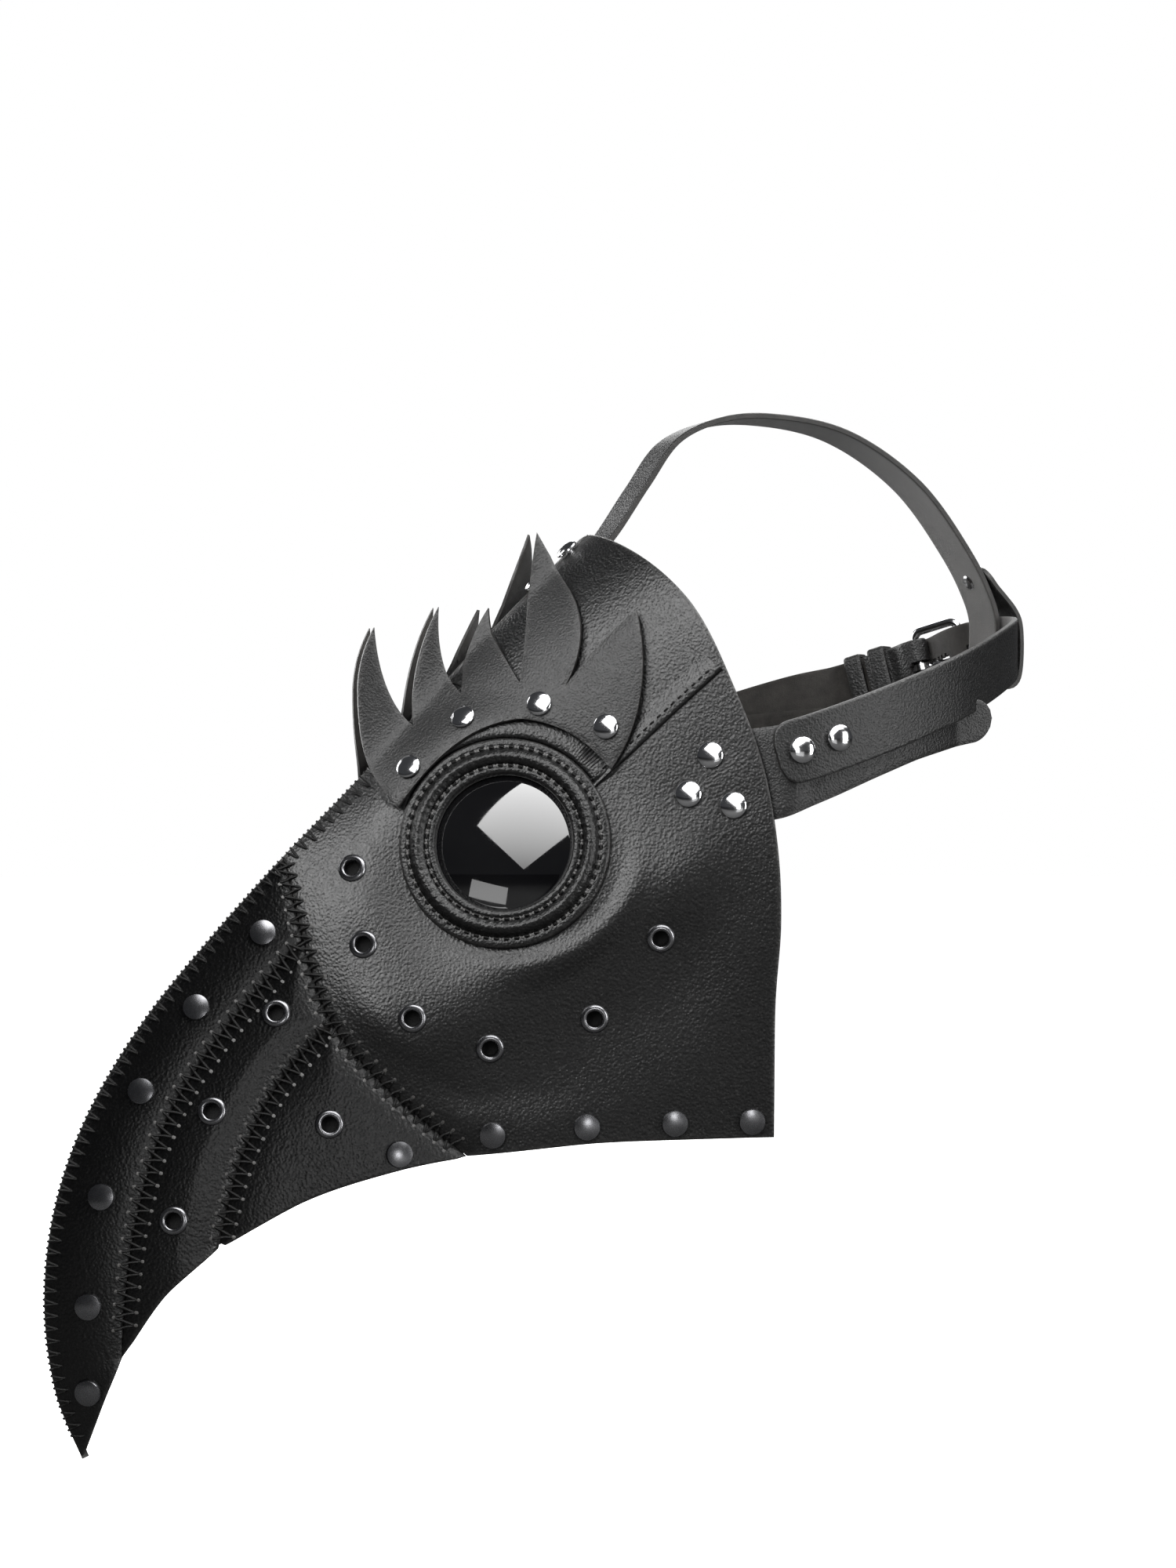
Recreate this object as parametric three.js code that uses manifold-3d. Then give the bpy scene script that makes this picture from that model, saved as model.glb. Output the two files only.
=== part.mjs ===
// Plague doctor mask with its head harness.
// Millimetres, +Z up, beak pointing along -Y, wearer's left along +X.
// The origin is the centre of the wearer's head. The mask is symmetric about X = 0.
import * as THREE from 'three';
import { mergeVertices } from 'three/addons/utils/BufferGeometryUtils.js';
import Module from 'manifold-3d';

const wasm = await Module();
wasm.setup();

// ---------- driving dimensions ----------
const LEATHER = 2.0;          // panel thickness
const GAP = 0.3;              // clearance between neighbouring pieces
const EYE = [36.8, -110, -18];       // centre of the eye ring on the face surface
const EYE_NORMAL = new THREE.Vector3(0.88, -0.43, 0.19).normalize();
const EYE_RING_R = 37.5;      // outer radius of the padded eye ring
const EYE_OPEN_R = 24.2;      // clear opening over the lens
const LENS_R = 27.0;
const STRAP_W = 22.5;
const STRAP_T = 2.2;
const RIVET_R = 4.7;          // cap radius
const SMALL_RIVET_R = 4.2;    // cap radius on the brow and the top strap
const SHANK_R = 1.4;
const HOLE_R = 1.75;

// Side-view curves, each point [y, z].
const BEAK_RIDGE = [[-253.5, -232.5], [-263, -208], [-266.8, -176.5], [-263, -143.5],
  [-251.5, -111.8], [-231.6, -79.6], [-206, -49], [-181, -22]];
const FACE_RIDGE = [[-181, -22], [-149.5, 9.5], [-108, 54.5], [-66, 95.5]];
const REAR_EDGE = [[-66, 95.5], [-48, 68], [-36, 36.5], [-27.7, 9.9], [-23.2, -19],
  [-21.6, -46.5], [-22.4, -76.9], [-20.5, -122]];
const FRONT_SEAM = [[-181, -22], [-177, -52], [-169, -81], [-150, -105], [-124, -128]];
const SEAM_1 = [[-177, -52], [-207, -86], [-226, -115], [-236.5, -148], [-240.5, -176], [-241.5, -195.5]];
const SEAM_2 = [[-169, -81], [-189, -104], [-202, -130], [-209.5, -158]];
const TIP_EDGE = [[-253.5, -232.5], [-247.5, -211], [-241.5, -195.5]];
const MIDDLE_EDGE = [[-241.5, -195.5], [-228, -174], [-209.5, -158]];
const LOWER_EDGE = [[-124, -128], [-149, -132.5], [-180, -142], [-209.5, -158]];
const JAW_EDGE = [[-124, -128], [-84, -123.6], [-50, -122.5], [-20.5, -122]];

const WELD = 1e-4; // points closer than this are one point

// ---------- curves ----------
function samples(points, n) {
  const c = new THREE.SplineCurve(points.map((p) => new THREE.Vector2(p[0], p[1])));
  return c.getPoints(n);
}

function curveAt(points) {
  const c = new THREE.SplineCurve(points.map((p) => new THREE.Vector2(p[0], p[1])));
  return (t) => c.getPoint(t);
}

const ridgeLine = samples(BEAK_RIDGE, 60).concat(samples(FACE_RIDGE, 40).slice(1));
ridgeLine.push(new THREE.Vector2(-24, 138.4));
const frontLine = samples(FRONT_SEAM, 40);
const seamLine1 = samples(SEAM_1, 40);
const seamLine2 = samples(SEAM_2, 30);

function distanceTo(line, y, z) {
  let best = 1e9;
  let side = 1;
  for (let i = 0; i + 1 < line.length; i++) {
    const a = line[i];
    const b = line[i + 1];
    const dx = b.x - a.x;
    const dy = b.y - a.y;
    const t = Math.min(1, Math.max(0, ((y - a.x) * dx + (z - a.y) * dy) / (dx * dx + dy * dy)));
    const d = Math.hypot(y - a.x - dx * t, z - a.y - dy * t);
    if (d < best) {
      best = d;
      side = dx * (z - a.y) - dy * (y - a.x) > 0 ? -1 : 1;
    }
  }
  return { d: best, side };
}

function smooth(a, b, v) {
  const t = Math.min(1, Math.max(0, (v - a) / (b - a)));
  return t * t * (3 - 2 * t);
}

function frontSeamY(z) {
  const line = frontLine;
  if (z >= line[0].y) return line[0].x;
  for (let i = 0; i + 1 < line.length; i++) {
    if (z >= line[i + 1].y) {
      const t = (z - line[i].y) / (line[i + 1].y - line[i].y);
      return line[i].x + t * (line[i + 1].x - line[i].x);
    }
  }
  return line[line.length - 1].x;
}

// Half-width of the outer surface above a side-view point: a blunt-ridged tent that widens
// towards the cheeks, with every leather panel swelling between its seams, and flat under
// the eye ring.
function halfWidth(y, z) {
  const r = distanceTo(ridgeLine, y, z);
  if (r.side < 0) return -1.2 * r.d;
  const d = r.d;
  const bluntness = 1 - 0.4 * smooth(-5, 90, z);
  const back = Math.max(0, (y + 185) / 165);
  const tent = Math.pow(1 - Math.exp(-d / 55), bluntness) * (34 + (51.6 + 0.18 * z) * Math.pow(back, 1.35));
  const df = distanceTo(frontLine, y, z).d;
  let swell = 8 * (1 - Math.exp(-df / 14));
  if (y < frontSeamY(z)) {
    const db = Math.min(df, distanceTo(seamLine1, y, z).d, distanceTo(seamLine2, y, z).d);
    swell = 4 * (1 - Math.exp(-db / 8));
  }
  const x = tent + swell * (1 - Math.exp(-d / 10));
  const flat = EYE[0] - (EYE_NORMAL.y * (y - EYE[1]) + EYE_NORMAL.z * (z - EYE[2])) / EYE_NORMAL.x;
  const rr = Math.hypot(flat - EYE[0], y - EYE[1], z - EYE[2]);
  const w = 1 - smooth(36, 56, rr);
  return x + (flat - x) * w;
}

function surface(y, z) {
  return new THREE.Vector3(halfWidth(y, z), y, z);
}

function normalAt(y, z, h = 3) {
  const gy = (halfWidth(y + h, z) - halfWidth(y - h, z)) / (2 * h);
  const gz = (halfWidth(y, z + h) - halfWidth(y, z - h)) / (2 * h);
  return new THREE.Vector3(1, -gy, -gz).normalize();
}

// ---------- solids ----------
function closedMesh(positions, indices) {
  const g = new THREE.BufferGeometry();
  g.setAttribute('position', new THREE.Float32BufferAttribute(positions, 3));
  g.setIndex(indices);
  return g;
}

function toManifold(geometry) {
  const g = geometry.clone();
  g.deleteAttribute('normal');
  g.deleteAttribute('uv');
  const m = mergeVertices(g, WELD);
  const mesh = new wasm.Mesh({
    numProp: 3,
    vertProperties: new Float32Array(m.attributes.position.array),
    triVerts: new Uint32Array(m.index.array),
  });
  return new wasm.Manifold(mesh);
}

// The same for three.js shapes, whose winding may be inside out and whose poles are degenerate.
function toManifoldOriented(geometry) {
  const g = geometry.clone();
  g.deleteAttribute('normal');
  g.deleteAttribute('uv');
  const m = mergeVertices(g, WELD);
  const idx = Array.from(m.index.array);
  const keep = [];
  for (let t = 0; t < idx.length; t += 3) {
    const [a, b, c] = [idx[t], idx[t + 1], idx[t + 2]];
    if (a !== b && b !== c && a !== c) keep.push(a, b, c);
  }
  m.setIndex(keep);
  if (volumeOf(m) < 0) flipped(m);
  return toManifold(m);
}

function fromManifold(solid) {
  const mesh = solid.getMesh();
  const g = new THREE.BufferGeometry();
  g.setAttribute('position', new THREE.BufferAttribute(new Float32Array(mesh.vertProperties), 3));
  g.setIndex(new THREE.BufferAttribute(new Uint32Array(mesh.triVerts), 1));
  return g;
}

function cut(geometry, tools) {
  let solid = toManifold(geometry);
  for (const tool of tools) solid = solid.subtract(toManifold(tool));
  return fromManifold(solid);
}

// Closed solid between two matching grids of points, grid[i][j].
function slab(outer, inner) {
  const n = outer.length;
  const m = outer[0].length;
  const pos = [];
  for (const grid of [outer, inner]) {
    for (const row of grid) for (const p of row) pos.push(p.x, p.y, p.z);
  }
  const o = (i, j) => i * m + j;
  const k = (i, j) => n * m + i * m + j;
  const tri = [];
  const quad = (a, b, c, d) => tri.push(a, b, c, a, c, d);
  for (let i = 0; i + 1 < n; i++) {
    for (let j = 0; j + 1 < m; j++) {
      quad(o(i, j), o(i + 1, j), o(i + 1, j + 1), o(i, j + 1));
      quad(k(i, j), k(i, j + 1), k(i + 1, j + 1), k(i + 1, j));
    }
    quad(o(i, 0), k(i, 0), k(i + 1, 0), o(i + 1, 0));
    quad(o(i, m - 1), o(i + 1, m - 1), k(i + 1, m - 1), k(i, m - 1));
  }
  for (let j = 0; j + 1 < m; j++) {
    quad(o(0, j), o(0, j + 1), k(0, j + 1), k(0, j));
    quad(o(n - 1, j), k(n - 1, j), k(n - 1, j + 1), o(n - 1, j + 1));
  }
  const g = closedMesh(pos, tri);
  return volumeOf(g) < 0 ? flipped(g) : g;
}

function volumeOf(g) {
  const p = g.attributes.position.array;
  const idx = g.index.array;
  let v = 0;
  for (let t = 0; t < idx.length; t += 3) {
    const a = idx[t] * 3;
    const b = idx[t + 1] * 3;
    const c = idx[t + 2] * 3;
    v += p[a] * (p[b + 1] * p[c + 2] - p[b + 2] * p[c + 1]);
    v += p[a + 1] * (p[b + 2] * p[c] - p[b] * p[c + 2]);
    v += p[a + 2] * (p[b] * p[c + 1] - p[b + 1] * p[c]);
  }
  return v / 6;
}

function flipped(g) {
  const idx = g.index.array;
  for (let t = 0; t < idx.length; t += 3) {
    const s = idx[t + 1];
    idx[t + 1] = idx[t + 2];
    idx[t + 2] = s;
  }
  return g;
}

function mirrored(g) {
  const m = g.clone();
  const p = m.attributes.position.array;
  for (let i = 0; i < p.length; i += 3) p[i] = -p[i];
  return flipped(m);
}

// Cylinder from a to b.
function rod(a, b, radius, sides = 6) {
  const g = new THREE.CylinderGeometry(radius, radius, a.distanceTo(b), sides);
  const along = b.clone().sub(a).normalize();
  g.applyQuaternion(new THREE.Quaternion().setFromUnitVectors(new THREE.Vector3(0, 1, 0), along));
  g.translate((a.x + b.x) / 2, (a.y + b.y) / 2, (a.z + b.z) / 2);
  return g;
}

// Closed lathe of [radius, height] points turned round an axis through a point.
function turned(profile, origin, axis, sides) {
  const g = new THREE.LatheGeometry(profile.map((p) => new THREE.Vector2(p[0], p[1])), sides);
  g.applyQuaternion(new THREE.Quaternion().setFromUnitVectors(new THREE.Vector3(0, 1, 0), axis));
  g.translate(origin.x, origin.y, origin.z);
  return fromManifold(toManifoldOriented(g));
}

// Rivet standing on the surface point, cap outwards, with its washer inside.
const CAP_DOME = 2.0;
const WASHER_R = 3.0;
const WASHER_T = 1.0;
function rivetGeometry(point, axis, grip, cap = RIVET_R) {
  const tail = -(grip + GAP);
  const base = GAP + 0.15;
  const profile = [[0, tail - WASHER_T], [WASHER_R, tail - WASHER_T], [WASHER_R, tail],
    [SHANK_R, tail], [SHANK_R, base],
    [cap, base], [cap * 0.8, base + CAP_DOME * 0.8], [0, base + CAP_DOME]];
  return turned(profile, point, axis, 6);
}

// Strip of leather along stations { c, n, w }: centre, outward normal, width direction x half width.
function strip(stations, thickness) {
  const outer = [];
  const inner = [];
  for (const s of stations) {
    const o = s.n.clone().multiplyScalar(thickness / 2);
    outer.push([s.c.clone().sub(s.w).add(o), s.c.clone().add(s.w).add(o)]);
    inner.push([s.c.clone().sub(s.w).sub(o), s.c.clone().add(s.w).sub(o)]);
  }
  return slab(outer, inner);
}

// ---------- leather panels ----------
const coons = (A, B, C, D) => (u, v) => {
  // A: u at v = 0, C: u at v = 1, D: v at u = 0, B: v at u = 1
  const p = A(u).clone().multiplyScalar(1 - v).add(C(u).clone().multiplyScalar(v));
  p.add(D(v).clone().multiplyScalar(1 - u)).add(B(v).clone().multiplyScalar(u));
  p.sub(A(0).clone().multiplyScalar((1 - u) * (1 - v))).sub(A(1).clone().multiplyScalar(u * (1 - v)));
  p.sub(C(0).clone().multiplyScalar((1 - u) * v)).sub(C(1).clone().multiplyScalar(u * v));
  return p;
};

function panel(patch, us, vs, inset, thickness = LEATHER) {
  const outer = [];
  const inner = [];
  for (const u of us) {
    const ro = [];
    const ri = [];
    for (const v of vs) {
      const q = patch(inset[0] + u * (1 - inset[0] - inset[1]), inset[2] + v * (1 - inset[2] - inset[3]));
      const p = surface(q.x, q.y);
      const n = normalAt(q.x, q.y);
      const r = p.clone().addScaledVector(n, -thickness);
      p.x = Math.max(p.x, 0.2);
      r.x = Math.max(r.x, 0.2);
      ro.push(p);
      ri.push(r);
    }
    outer.push(ro);
    inner.push(ri);
  }
  return slab(outer, inner);
}

function spread(n, power = 1) {
  return Array.from({ length: n + 1 }, (_, i) => Math.pow(i / n, power));
}

const frontAt = curveAt(FRONT_SEAM);
const part = (f, a, b) => (t) => f(a + t * (b - a));
const reverse = (f) => (t) => f(1 - t);

const facePatch = coons(curveAt(FACE_RIDGE), curveAt(REAR_EDGE), curveAt(JAW_EDGE), frontAt);
const ridgeSide = reverse(curveAt(BEAK_RIDGE));
const ridgePatch = coons(ridgeSide, curveAt(TIP_EDGE), curveAt(SEAM_1), part(frontAt, 0, 0.25));
const middlePatch = coons(curveAt(SEAM_1), curveAt(MIDDLE_EDGE), curveAt(SEAM_2), part(frontAt, 0.25, 0.5));
const lowerSeam = part(curveAt(SEAM_2), 0, 0.965);
const lowerEdge = part(curveAt(LOWER_EDGE), 0, 0.965);
const lowerEnd = (t) => lowerSeam(1).clone().lerp(lowerEdge(1), t);
const lowerPatch = coons(lowerSeam, lowerEnd, lowerEdge, part(frontAt, 0.5, 1));

const panels = {
  face: { patch: facePatch, us: spread(10), vs: spread(10, 1.4), inset: [0.007, 0, 0, 0] },
  ridge: { patch: ridgePatch, us: spread(14), vs: spread(3), inset: [0.003, 0, 0, 0.022] },
  middle: { patch: middlePatch, us: spread(10), vs: spread(4), inset: [0.003, 0, 0.010, 0.012] },
  lower: { patch: lowerPatch, us: spread(7), vs: spread(4), inset: [0.006, 0, 0.012, 0] },
};

const INNER_PLAY = 0.45; // extra room inside the panels for the underside

function leatherPanel(name) {
  const k = panels[name];
  return panel(k.patch, k.us, k.vs, k.inset);
}

// The same panel without its seam gaps and thicker by the clearance, to cut what lies inside it.
function clearancePanel(name) {
  const k = panels[name];
  return panel(k.patch, k.us, k.vs, [0, 0, 0, 0], LEATHER + GAP + INNER_PLAY);
}

// ---------- rivets through the face ----------
const JAW_RIVETS = [[-148, -126.6], [-116.3, -120.4], [-85, -117.6], [-55, -116.6], [-28.5, -116.2]];
const TAB_RIVETS = [[-43.8, 13.1], [-51, -0.6], [-37, -4.5]];
const BROW_RIVETS = [[-139.5, 8.5], [-120.5, 26], [-96.5, 31], [-76.5, 23]];
const TOP_RIVETS = [[-85.5, 76.6], [-73, 88.8]];

// ---------- flame brow piece ----------
const BROW_T = 2.0;
const BROW_LIFT = 2.9; // from the outer surface to the middle of the piece, across the mask
const BROW_BEND = 10; // how gently the piece bends from the forehead's slope to upright
const HORN_X = 2.4; // the horns above the ridge stand this far from the middle plane
const HORN_STRAP_X = 13.4; // the fourth horn stands this far out where it passes the top strap
const STRAP_LINE = 153; // the top strap's end lies along z - y = this

// Half-width of the piece: it lies on the forehead and straightens up where the ridge ends.
function browMid(y, z) {
  const besideStrap = smooth(-111, -98, y) * (1 - smooth(4, 34, z - y - STRAP_LINE));
  const upright = HORN_X + (HORN_STRAP_X - HORN_X) * besideStrap;
  const lifted = halfWidth(y, z) + BROW_LIFT;
  return 0.5 * (upright + lifted + Math.hypot(upright - lifted, BROW_BEND));
}

function browNormal(y, z, h = 4) {
  const gy = (browMid(y + h, z) - browMid(y - h, z)) / (2 * h);
  const gz = (browMid(y, z + h) - browMid(y, z - h)) / (2 * h);
  return new THREE.Vector3(1, -gy, -gz).normalize();
}

// Outline as [y, z] tips and valleys with the control point of the edge that leads there.
function browShape() {
  const s = new THREE.Shape();
  s.moveTo(-144.5, -5.5);
  s.quadraticCurveTo(-154.5, 8, -154.5, 36);
  s.quadraticCurveTo(-154.5, 48, -148.3, 59.2);
  s.quadraticCurveTo(-146.7, 36, -135.2, 23.6);
  s.quadraticCurveTo(-135, 48, -124.2, 67);
  s.quadraticCurveTo(-125.6, 48.4, -119, 35);
  s.quadraticCurveTo(-115, 52.6, -106, 66.8);
  s.quadraticCurveTo(-106.8, 52.5, -101.6, 39);
  s.quadraticCurveTo(-95.7, 62.6, -87, 94.8);
  s.quadraticCurveTo(-74, 62.2, -88.4, 37);
  s.quadraticCurveTo(-79.6, 50, -64.5, 64.7);
  s.quadraticCurveTo(-61.4, 30, -75.7, 8);
  s.quadraticCurveTo(-86, 24.5, -103, 26);
  s.quadraticCurveTo(-125, 24, -144.5, -5.5);
  return s;
}

function browGeometry() {
  const flat = new THREE.ExtrudeGeometry(browShape(), { depth: 1, bevelEnabled: false, curveSegments: 3 });
  const source = toManifoldOriented(flat).refine(2).getMesh();
  const p = source.vertProperties;
  const pos = [];
  for (let i = 0; i < p.length; i += 3) {
    const y = p[i];
    const z = p[i + 1];
    const side = p[i + 2] * 2 - 1;
    const n = browNormal(y, z);
    const offset = side * BROW_T / 2;
    pos.push(browMid(y, z) + n.x * offset, y + n.y * offset, z + n.z * offset);
  }
  const g = closedMesh(pos, Array.from(source.triVerts));
  return volumeOf(g) < 0 ? flipped(g) : g;
}

// ---------- eye ----------
const eyeCentre = new THREE.Vector3(...EYE);
const ringProfile = [[24.2, 0.9], [24.5, 3.4], [26.9, 5.8], [30.2, 6.4], [33.6, 3.2], [37.5, 1.6],
  [37.5, -4.6], [27.6, -4.6], [27.6, 0.9], [24.2, 0.9]];
const lensProfile = [[0, -1.4], [27.0, -1.4], [27.0, 0.5], [23.9, 0.5], [16, 1.5], [0, 2.1]];
const retainerProfile = [[24.6, -4.4], [27.1, -4.4], [27.1, -1.8], [24.6, -1.8], [24.6, -4.4]];

// ---------- under side of the beak and jaw ----------
function edgePoint(t) {
  // t runs from 0 at the rear of the jaw to 1 near the tip
  const jaw = curveAt(JAW_EDGE);
  const low = curveAt(LOWER_EDGE);
  const mid = curveAt(MIDDLE_EDGE);
  if (t < 0.45) return jaw(1 - t / 0.45);
  if (t < 0.82) return low((t - 0.45) / 0.37);
  return mid(1 - (t - 0.82) / 0.18);
}

const UNDERSIDE_T = 1.5;
const TURN_UP = 9; // height of the flange that lies against the inside of the panels

function undersideGeometry() {
  const n = 15;
  const rings = [];
  for (let i = 0; i <= n; i++) {
    const t = 0.01 + 0.955 * i / n;
    const e = edgePoint(t);
    const f = edgePoint(Math.min(1, t + 0.004));
    const g = edgePoint(Math.max(0, t - 0.004));
    const tx = f.x - g.x;
    const ty = f.y - g.y;
    const len = Math.hypot(tx, ty);
    // in-plane direction pointing up into the panel
    const ux = ty / len;
    const uy = -tx / len;
    const at = (up, depth) => {
      const y = e.x + ux * up;
      const z = e.y + uy * up;
      const s = surface(y, z).addScaledVector(normalAt(y, z), -depth);
      s.x = Math.max(s.x, 0.8);
      return s;
    };
    const outside = LEATHER + GAP + 0.4;
    const inside = outside + UNDERSIDE_T;
    const a = at(TURN_UP, outside);
    const b = at(0.8, outside);
    const c = at(TURN_UP, inside);
    const d = at(2.4, inside);
    rings.push([a, b, new THREE.Vector3(0, b.y, b.z), new THREE.Vector3(0, d.y, d.z), d, c]);
  }
  const pos = [];
  for (const r of rings) for (const p of r) pos.push(p.x, p.y, p.z);
  const tri = [];
  for (let i = 0; i < n; i++) {
    for (let j = 0; j < 6; j++) {
      const a = i * 6 + j;
      const b = i * 6 + (j + 1) % 6;
      tri.push(a, b, b + 6, a, b + 6, a + 6);
    }
  }
  for (const c of [[0, 1, 4], [0, 4, 5], [1, 2, 3], [1, 3, 4]]) {
    tri.push(c[0], c[2], c[1]);
    tri.push(n * 6 + c[0], n * 6 + c[1], n * 6 + c[2]);
  }
  const g = closedMesh(pos, tri);
  if (volumeOf(g) < 0) flipped(g);
  const tools = [...Object.keys(panels).map(clearancePanel), ...jawHoles];
  const half = cut(g, tools);
  return fromManifold(toManifold(half).add(toManifold(mirrored(half))));
}

// ---------- harness ----------
// Buckle frame of reference on the wearer's right behind the ear: e1 along the strap towards
// the right temple, e2 away from the head, e3 across the strap.
const A = THREE.MathUtils.degToRad(42);
const B = THREE.MathUtils.degToRad(15);
const e1 = new THREE.Vector3(-Math.cos(A) * Math.cos(B), -Math.sin(A) * Math.cos(B), -Math.sin(B));
const e2 = new THREE.Vector3(-Math.sin(A), Math.cos(A), 0);
const e3 = new THREE.Vector3().crossVectors(e1, e2);
const BUCKLE = new THREE.Vector3(-35, 96.5, 51.5);
const buckleMatrix = new THREE.Matrix4().makeBasis(e1, e2, e3).setPosition(BUCKLE);
const local = (x, y, z = 0) => new THREE.Vector3(x, y, z).applyMatrix4(buckleMatrix);

const sidePath = [[78.6, -23.5, 12.4], [80.3, -6, 17.6], [77, 25, 28], [66.5, 55, 38.7]];
const rightSide = sidePath.slice(0, 3).map((p) => new THREE.Vector3(-p[0], p[1], p[2]));
rightSide.push(new THREE.Vector3(-72.5, 52, 36));

// Stations along a route: smooth through the points, the width across the route and the
// outward direction taken from the centre of the head.
function routeStations(points, count, halfWidths) {
  const c = new THREE.CatmullRomCurve3(points, false, 'centripetal');
  const out = [];
  for (let i = 0; i <= count; i++) {
    const t = i / count;
    const p = c.getPointAt(t);
    const T = c.getTangentAt(t);
    const n = new THREE.Vector3(T.y, -T.x, 0).normalize();
    if (n.x * p.x + n.y * p.y < 0) n.negate();
    const w = new THREE.Vector3().crossVectors(n, T).normalize();
    n.crossVectors(T, w).normalize();
    if (n.x * p.x + n.y * p.y < 0) n.negate();
    out.push({ c: p, n, w: w.multiplyScalar(halfWidths(t)) });
  }
  return out;
}

// Local stations in the buckle's plane: points [x, y], half width.
function localStations(points, halfW) {
  const out = [];
  for (let i = 0; i < points.length; i++) {
    const a = points[Math.max(0, i - 1)];
    const b = points[Math.min(points.length - 1, i + 1)];
    const tx = b[0] - a[0];
    const ty = b[1] - a[1];
    const len = Math.hypot(tx, ty);
    const n = e1.clone().multiplyScalar(-ty / len).addScaledVector(e2, tx / len);
    out.push({ c: local(points[i][0], points[i][1]), n, w: e3.clone().multiplyScalar(halfW(i)) });
  }
  return out;
}

function joinStrip(world, localPart) {
  // the world part runs towards the buckle; make width directions agree
  const ref = localPart[0].w;
  for (const s of world) if (s.w.dot(ref) < 0) s.w.negate();
  const nref = localPart[0].n;
  const last = world[world.length - 1];
  if (last.n.dot(nref) < 0) for (const s of localPart) s.n.negate();
  return strip(world.concat(localPart), STRAP_T);
}

const HW = STRAP_W / 2;
const roundStart = (t) => HW * (t < 0.03 ? 0.62 + 12.6 * t : 1);

// Right strap carries the buckle: it wraps round the hinge bar and its end is sewn back.
const HINGE_X = 8;
const ROLLER_X = -11;
const foldR = 3.3;
const chape = [[42, foldR], [30, foldR], [14, foldR]];
for (let i = 0; i <= 6; i++) {
  const a = Math.PI / 2 + i * Math.PI / 6;
  chape.push([HINGE_X + foldR * Math.cos(a), foldR * Math.sin(a)]);
}
chape.push([12.5, -2.6], [17.5, 0.1], [20, 0.72], [31, 0.72]);
const rightWorld = routeStations([...rightSide, local(42, foldR)], 11, roundStart).slice(0, -1);
let rightStrap = joinStrip(rightWorld, localStations(chape, () => HW));

// Left strap is the punched tail: round the back of the head, through the buckle.
const tailPath = [[-16, -4.9], [-12.5, -4.8], [-8, -3.6], [-3.5, -0.9], [0.5, 2.6], [4, 5], [8, 5.75],
  [14, 5.75], [30, 5.75], [42, 5.75], [46, 5.75]];
const leftPoints = sidePath.map((p) => new THREE.Vector3(...p));
for (const p of [[46, 82, 49], [23, 99, 55], [0, 102.7, 56.5]]) leftPoints.push(new THREE.Vector3(...p));
leftPoints.push(local(-16, -4.9));
const leftWorld = routeStations(leftPoints, 22, roundStart).slice(0, -1);
const tailHalf = (i) => (i === tailPath.length - 1 ? HW * 0.45 : HW);
let leftStrap = joinStrip(leftWorld, localStations(tailPath, tailHalf));

const STRAP_RIVET_Y = [-15, -1];

// Point of the left strap's route at a given Y, with the outward normal there.
function routeAt(y) {
  const c = new THREE.CatmullRomCurve3(leftPoints, false, 'centripetal');
  let lo = 0;
  let hi = 0.5;
  for (let i = 0; i < 30; i++) {
    const m = (lo + hi) / 2;
    if (c.getPointAt(m).y < y) lo = m;
    else hi = m;
  }
  const T = c.getTangentAt(lo);
  return { p: c.getPointAt(lo), n: new THREE.Vector3(T.y, -T.x, 0).normalize() };
}

// Tab: riveted inside the face panel, runs back under the side strap.
// Each station is [y, z of the middle, half width].
const TAB = [[-59, 3, 7], [-54, 3.4, 12.5], [-44, 4.2, 16], [-34, 5.5, 16.6], [-27, 6.5, 16.6],
  [-21, 7.6, 16.4], [-12, 9.8, 15.6], [0, 13, 14.2], [16, 17.2, 12], [34, 21.4, 9.8],
  [52, 24.6, 8.4], [64, 26.4, 7.6], [68, 27, 4]];
const TAB_T = 1.8;
const TAB_LEAVES_Y = -23; // behind this the tab follows the strap instead of the mask
const TAB_CLEARANCE = 1.6; // between the tab and the strap above it
function tabGeometry() {
  const outer = [];
  const inner = [];
  for (const [y, zc, hw] of TAB) {
    const ro = [];
    const ri = [];
    for (const k of [-1, 0, 1]) {
      const z = zc + k * hw;
      const inside = surface(y, z).addScaledVector(normalAt(y, z), -(LEATHER + GAP + 0.1 + TAB_T / 2));
      const strap = routeAt(Math.max(y, TAB_LEAVES_Y));
      const below = (STRAP_T + TAB_T) / 2 + TAB_CLEARANCE;
      const outside = new THREE.Vector3(strap.p.x - below / strap.n.x, y, z);
      const w = smooth(-24, -9, y);
      const c = inside.lerp(outside, w);
      const n = normalAt(y, z).lerp(strap.n, w).normalize();
      ro.push(c.clone().addScaledVector(n, TAB_T / 2));
      ri.push(c.clone().addScaledVector(n, -TAB_T / 2));
    }
    outer.push(ro);
    inner.push(ri);
  }
  return slab(outer, inner);
}

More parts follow.
